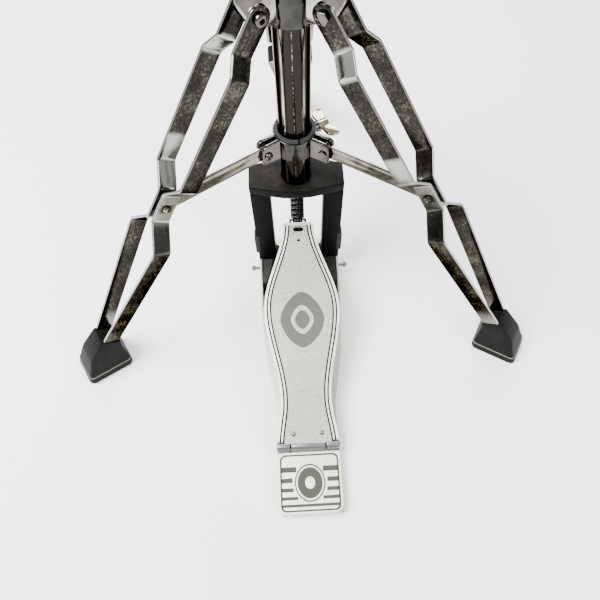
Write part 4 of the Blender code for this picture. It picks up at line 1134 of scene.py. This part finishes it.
def makeHeel():
    spec = heel
    low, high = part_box("heel_plate")
    half, corner, top = (high[0] - low[0]) / 2, spec["corner"], spec["top"]
    near = pedalJoint[1] - spec["hingeRoom"]
    far = low[1]
    outline = (arc((half - corner, far + corner), corner, -90, 0, 8) + [(half, near), (-half, near)]
               + arc((-half + corner, far + corner), corner, 180, 270, 8))
    plate = slab(outline, low[2], top, edge=spec["edge"])
    adds = []
    for side in (-1, 1):
        start, end = sorted((side * half, side * (half - hinge["knuckle"])))
        place = Matrix.Translation((0.0, pedalJoint[1], pedalJoint[2]))
        adds.append(moved(knuckleMesh(start, end), place))
        adds.append(slab(oblong(start, near - 0.004, end, near + 0.0030), low[2], pedalJoint[2] - 0.0032))
    show("heelPlate", combine(plate, adds, "UNION"), "stand_base", rimSilver, ["heel_plate"],
         second=(barrelSteel, lambda face: face.center.y > near + 0.0004))
    ride = top - board["sunk"]
    lift = ride + board["print"]
    border, line = spec["border"], spec["line"]
    within = border + line
    frameOut = roundedBox(-half + border, far + border, half - border, near - border, spec["lineOut"], 6)
    frameIn = roundedBox(-half + within, far + within, half - within, near - within, spec["lineIn"], 6)
    prints = [slab(frameOut, ride, lift, [frameIn])]
    # bars that thin out towards the player, broken round the badge
    start = near - border - line
    centre = start - spec["badgeDown"]
    badgeWide, badgeLong = spec["badgeWide"], spec["badgeLong"]
    edge = half - border - line * 0.7
    y = start - spec["firstBar"]
    step, thick = spec["barStep"], spec["barThick"]
    for _ in range(spec["bars"]):
        reach = (y - thick / 2 - centre) / badgeLong
        clear = badgeWide * math.sqrt(max(0.0, 1.0 - reach * reach)) + spec["badgeRoom"]
        runs = ((-edge, -clear), (clear, edge)) if abs(reach) < 1.0 else ((-edge, edge),)
        prints += [slab(oblong(a, y - thick, b, y), ride, lift) for a, b in runs]
        y -= step
        step *= spec["stepShare"]
        thick *= spec["thickShare"]
    badge = ellipse(badgeWide, badgeLong, centre)
    for outer, inner in (spec["ring"], spec["disc"]):
        prints.append(slab(shrunk(badge, centre, outer), ride, lift, [shrunk(badge, centre, inner)]))
    show("heelPrint", joined(*prints), "stand_base", heelInk)


makeFootboard()
makeHinge()
makeHeel()
print("pedal made")

# chain and clevises
chainShape = dict(links=5, plate=0.0008, half=0.0041, waist=0.0036, edge=0.00025, pin=0.0012,
                  pinHalf=0.0078, roller=0.0030, rollerHalf=0.0044, slack=0.0001,
                  inner=(-0.0051, -0.0017, 0.0017, 0.0051),
                  outer=(-0.0068, -0.0034, 0.0, 0.0034, 0.0068))


def linkPlate(pitch, z):
    # a figure-of-eight plate with two pin holes
    spec = chainShape
    waist = spec["waist"]
    outline = (arc((pitch, 0.0), spec["half"], -125, 125, 16) + [(pitch / 2, waist)]
               + arc((0.0, 0.0), spec["half"], 55, 305, 16) + [(pitch / 2, -waist)])
    holes = [arc((x, 0.0), spec["pin"] + spec["slack"] / 2, 0, 330, 11) for x in (0.0, pitch)]
    return slab(outline, z - spec["plate"], z + spec["plate"], holes, edge=spec["edge"])


def makeChain():
    spec = chainShape
    toe = boardPlace @ Vector((0.0, boardLength + board["toePin"], 0.0))
    pitch = (toe - chainTop).length / spec["links"]
    drop = math.atan2(toe.y - chainTop.y, chainTop.z - toe.z)
    hang = Matrix(((0, 0, -1, 0), (math.sin(drop), math.cos(drop), 0, 0),
                   (-math.cos(drop), math.sin(drop), 0, 0), (0, 0, 0, 1)))
    place = Matrix.Translation(chainTop) @ hang
    inner = joined(*(linkPlate(pitch, z) for z in spec["inner"]))
    outer = joined(*(linkPlate(pitch, z) for z in spec["outer"]))
    outerCount = spec["links"] // 2
    innerRow = repeated(inner, blackSteel, spec["links"] - outerCount, step=(2 * pitch, 0, 0))
    outerRow = repeated(outer, blackSteel, outerCount, start=(pitch, 0, 0), step=(2 * pitch, 0, 0))
    links = moved(joined(innerRow, outerRow), place)
    show("chainPlates", links, "chain", blackSteel, ["chain"])
    radius, long = spec["pin"], spec["pinHalf"]
    side = [(radius - 0.0003, long), (radius, long - 0.0003)]
    pin = turned([(0.0, long), *side, *((r, -z) for r, z in side[::-1]), (0.0, -long)], 24)
    pins = repeated(pin, steel, spec["links"] + 1, step=(pitch, 0, 0))
    half = spec["rollerHalf"]
    roller = ringProfile(spec["roller"], radius + spec["slack"], -half, half, 0.0003)
    last = moved(turned(roller, 28), Matrix.Translation((spec["links"] * pitch, 0, 0)))
    show("chainPins", moved(joined(pins, last), place), "chain", steel)
    for name, node, body in (("toeClevis", "toe_clevis", "pedal"), ("rodClevis", "rod_clevis", "pull_rod")):
        show(name, softened(cadShape(node), 0.0004), body, blackSteel, [node])


makeChain()
print("chain made")

# height clamp, cymbal seat and clutch
clampShape = dict(upperBore=0.0142, lowerBore=0.0158, rim=0.0012, groove=0.0010, boss=0.0052,
                  bossFrom=0.018, bossReach=0.0257, bushBore=0.0115, bushNeck=0.0137, bushHead=0.0170,
                  bushShoulder=0.6123, lock=0.0178, lockRim=0.0014, lockSlit=0.0011)


def wingHole(lift, start, end):
    # the hole for a wing bolt's shank
    return bar(collarShape["wingHole"], knobOut * start + lift, knobOut * end + lift, 32)


def makeClamp():
    spec = clampShape
    low, high = levels("height_clamp")
    outer, rim = collarShape["outer"], spec["rim"]
    upper, lower, neck = spec["upperBore"], spec["lowerBore"], outer - spec["groove"]
    shoulder = levels("lower_tube")[1] + gap
    profile = [(upper, high), *arc((outer - rim, high - rim), rim, 90, 0, 4),
               (outer, low + 0.012), (neck, low + 0.011), (neck, low + 0.0095), (outer, low + 0.0085),
               *arc((outer - rim, low + rim), rim, 0, -90, 4),
               (lower, low), (lower, shoulder), (upper, shoulder)]
    lift = Vector((0.0, 0.0, joints["clamp_wing_turn"]["pos_m"][2]))
    boss = bar(spec["boss"], knobOut * spec["bossFrom"] + lift, knobOut * spec["bossReach"] + lift)
    body = combine(turned(profile, 96), [boss], "UNION")
    body = combine(body, [wingHole(lift, 0.010, 0.03)], "DIFFERENCE")
    show("heightClampBody", body, "stand_base", chrome, ["height_clamp"])
    low, high = levels("clamp_bush")
    inner, head = spec["bushBore"], spec["bushHead"]
    neck, shoulder = spec["bushNeck"], spec["bushShoulder"]
    bush = [(inner, high), (head - 0.0005, high), (head, high - 0.0005), (head, shoulder),
            (neck, shoulder), (neck, low), (inner, low)]
    show("clampBush", turned(bush, 72), "stand_base", nylon, ["clamp_bush"])
    low, high = levels("memory_lock")
    ring = turned(ringProfile(spec["lock"], inner, low, high, spec["lockRim"]), 96)
    slit = roundedBox(0.0100, -spec["lockSlit"], 0.0200, spec["lockSlit"], 0.0003, 2)
    lock = combine(ring, [slab(slit, low - 0.01, high + 0.01)], "DIFFERENCE")
    show("memoryLockRing", lock, "stand_base", chrome, ["memory_lock"])


def feltProfile(outer, inner, low, high):
    # a washer whose faces swell a little
    crown = 0.0004
    middle = (outer + inner) / 2
    edge = 0.0018
    return [(inner, high - 0.0006), (inner + 0.0010, high - crown), (middle, high),
            *arc((outer - edge, high - edge - crown), edge, 80, 0, 5),
            *arc((outer - edge, low + edge + crown), edge, 0, -80, 5),
            (middle, low), (inner + 0.0010, low + crown), (inner, low + 0.0006)]


seatShape = dict(wall=0.006, hole=0.0052, cup=0.0200, neck=0.0135, socket=0.0113, disc=0.0225,
                 collar=0.0080, felt=0.0205, feltHole=0.0084, screwOut=0.0155, screwHole=0.0019,
                 screw=0.0016, screwHead=0.0019)


def makeSeat():
    spec = seatShape
    hole, rim, neck, socket = (spec[key] for key in ("hole", "cup", "neck", "socket"))
    cupTop = levels("seat_base_cup")[1]
    z = cupTop - spec["wall"]
    cup = [(hole, cupTop), (rim - 0.0010, cupTop), (rim, cupTop - 0.0010), (rim, z + 0.0012),
           (0.0188, z - 0.0006), (0.0145, z - 0.0036), (neck, z - 0.0050), (neck, z - 0.0112),
           (0.0127, z - 0.0120), (socket, z - 0.0120), (socket, z), (hole, z)]
    screwHole = bar(spec["screwHole"], (spec["screwOut"], 0, z - 0.02), (spec["screwOut"], 0, z + 0.02), 24)
    show("seatCup", combine(turned(cup, 96), [screwHole], "DIFFERENCE"), "upper_tube", chrome,
         ["seat_base_cup"])
    disc, collarOut = spec["disc"], spec["collar"]
    plate = [(hole, z + 0.0130), (0.0076, z + 0.0130), (collarOut, z + 0.0126), (collarOut, z + 0.0096),
             (0.0215, z + 0.0092), (0.0224, z + 0.0086), (disc, z + 0.0078), (0.0207, z + 0.0063),
             (hole, z + 0.0063)]
    show("seatDisc", turned(plate, 96), "cymbal_seat", chrome, ["seat_plate"])
    washer = turned(feltProfile(spec["felt"], spec["feltHole"], z + 0.0100, z + 0.0200), 96)
    show("seatFelt", washer, "cymbal_seat", felt, ["seat_felt"])
    top = z + 0.0060
    shank, head = spec["screw"], spec["screwHead"]
    screw = [(0.0, top), (0.0014, top), (shank, top - 0.0003), (shank, z - 0.0045), (head, z - 0.0046),
             (head, z - 0.0051), (head, z - 0.0099), (head, z - 0.0105), (0.0, z - 0.0105)]
    show("seatScrew", turned(screw, 48), "seat_screw", steel, ["seat_tilt_screw"])


clutchShape = dict(bore=0.0035, head=0.0090, shank=0.0050, headLow=0.0476, nutBore=0.0053, felt=0.0155,
                   rim=0.0008, rib=0.0006)
clutchNuts = (
    # name, CAD node, radius, ribs
    ("clutchBottomNut", "clutch_bottom_nut", 0.0110, 36),
    ("clutchTopNut", "clutch_top_nut", 0.0120, 40),
)


def makeClutch():
    spec = clutchShape
    bore, head, shank, step = (spec[key] for key in ("bore", "head", "shank", "headLow"))
    z, top = levels("clutch_sleeve")
    body = [(bore, top), (0.0078, top), (0.0088, top - 0.0006), (head, top - 0.0014), (head, z + step),
            (0.0082, z + 0.0462), (shank, z + 0.0460), (shank, z + 0.0006), (0.0046, z), (bore, z)]
    hole = wingHole(Vector((0.0, 0.0, joints["clutch_wing_turn"]["pos_m"][2])), 0.005, 0.02)
    show("clutchSleeve", combine(turned(body, 96), [hole], "DIFFERENCE"), "clutch", chrome,
         ["clutch_sleeve"])
    for name, node, outer, ribs in clutchNuts:
        low, high = levels(node)
        profile = ringProfile(outer, spec["nutBore"], low, high, spec["rim"])
        nut = turned(profile, ribs * 8, ribs, spec["rib"])
        show(name, nut, "clutch", chrome, [node])
    for name, node in (("clutchLowerFelt", "clutch_lower_felt"), ("clutchUpperFelt", "clutch_upper_felt")):
        washer = feltProfile(spec["felt"], spec["nutBore"], *levels(node))
        show(name, turned(washer, 96), "clutch", felt, [node])


makeClamp()
makeSeat()
makeClutch()
print("top end made")

# floor, light and camera
view = dict(place=(-0.0055, -0.3814, 0.6076), tilt=25.9, turn=3.5, roll=-0.52, lens=32.028,
            shift=(-0.019167, 0.023167), sensor=36.0)
studio = dict(world=0.92, tint=(1.0, 0.99, 0.98), floor=0.90)
softboxes = (
    # name, place, aim, size, watts
    ("keyBox", (-0.9, -0.2, 1.6), (0.0, 0.0, 0.1), (0.9, 0.9), 110.0),
    ("fillBox", (1.1, -0.9, 1.5), (0.0, -0.1, 0.1), (0.7, 0.7), 28.0),
    ("backBox", (0.2, 1.3, 1.3), (0.0, 0.0, 0.3), (1.6, 0.5), 40.0),
)


def makeStage():
    work = bmesh.new()
    bmesh.ops.create_grid(work, x_segments=1, y_segments=1, size=6.0)
    ground = loose(meshOf(work))
    ground.name = "floor"
    look = Look("paleFloor", (studio["floor"],) * 3, 0.9)
    look.feed("Roughness", look.noise(8.0) * 0.1 + 0.85)
    ground.data.materials.append(look.material)
    world = bpy.data.worlds.new("studio")
    scene.world = world
    world.use_nodes = True
    sky = world.node_tree.nodes["Background"].inputs
    sky["Color"].default_value = (*studio["tint"], 1.0)
    sky["Strength"].default_value = studio["world"]
    for name, place, aim, size, watts in softboxes:
        lamp = bpy.data.lights.new(name, "AREA")
        lamp.shape = "RECTANGLE"
        lamp.size, lamp.size_y = size
        lamp.energy = watts
        item = bpy.data.objects.new(name, lamp)
        scene.collection.objects.link(item)
        item.location = place
        item.rotation_euler = (Vector(aim) - Vector(place)).to_track_quat("-Z", "Y").to_euler()


def makeCamera():
    tilt, turn, roll = (math.radians(view[key]) for key in ("tilt", "turn", "roll"))
    ahead = Vector((math.sin(tilt) * math.sin(turn), math.sin(tilt) * math.cos(turn), -math.cos(tilt)))
    upward = Vector((math.cos(tilt) * math.sin(turn), math.cos(tilt) * math.cos(turn), math.sin(tilt)))
    right = ahead.cross(upward)
    across = right * math.cos(roll) - upward * math.sin(roll)
    up = right * math.sin(roll) + upward * math.cos(roll)
    camera = bpy.data.cameras.new("standCamera")
    item = bpy.data.objects.new("standCamera", camera)
    scene.collection.objects.link(item)
    aim = Matrix((across, up, -ahead)).transposed().to_4x4()
    item.matrix_world = Matrix.Translation(view["place"]) @ aim
    camera.sensor_width = view["sensor"]
    camera.lens = view["lens"]
    camera.shift_x, camera.shift_y = view["shift"]
    camera.clip_start = 0.01
    scene.camera = item


makeStage()
makeCamera()
print("stage made")
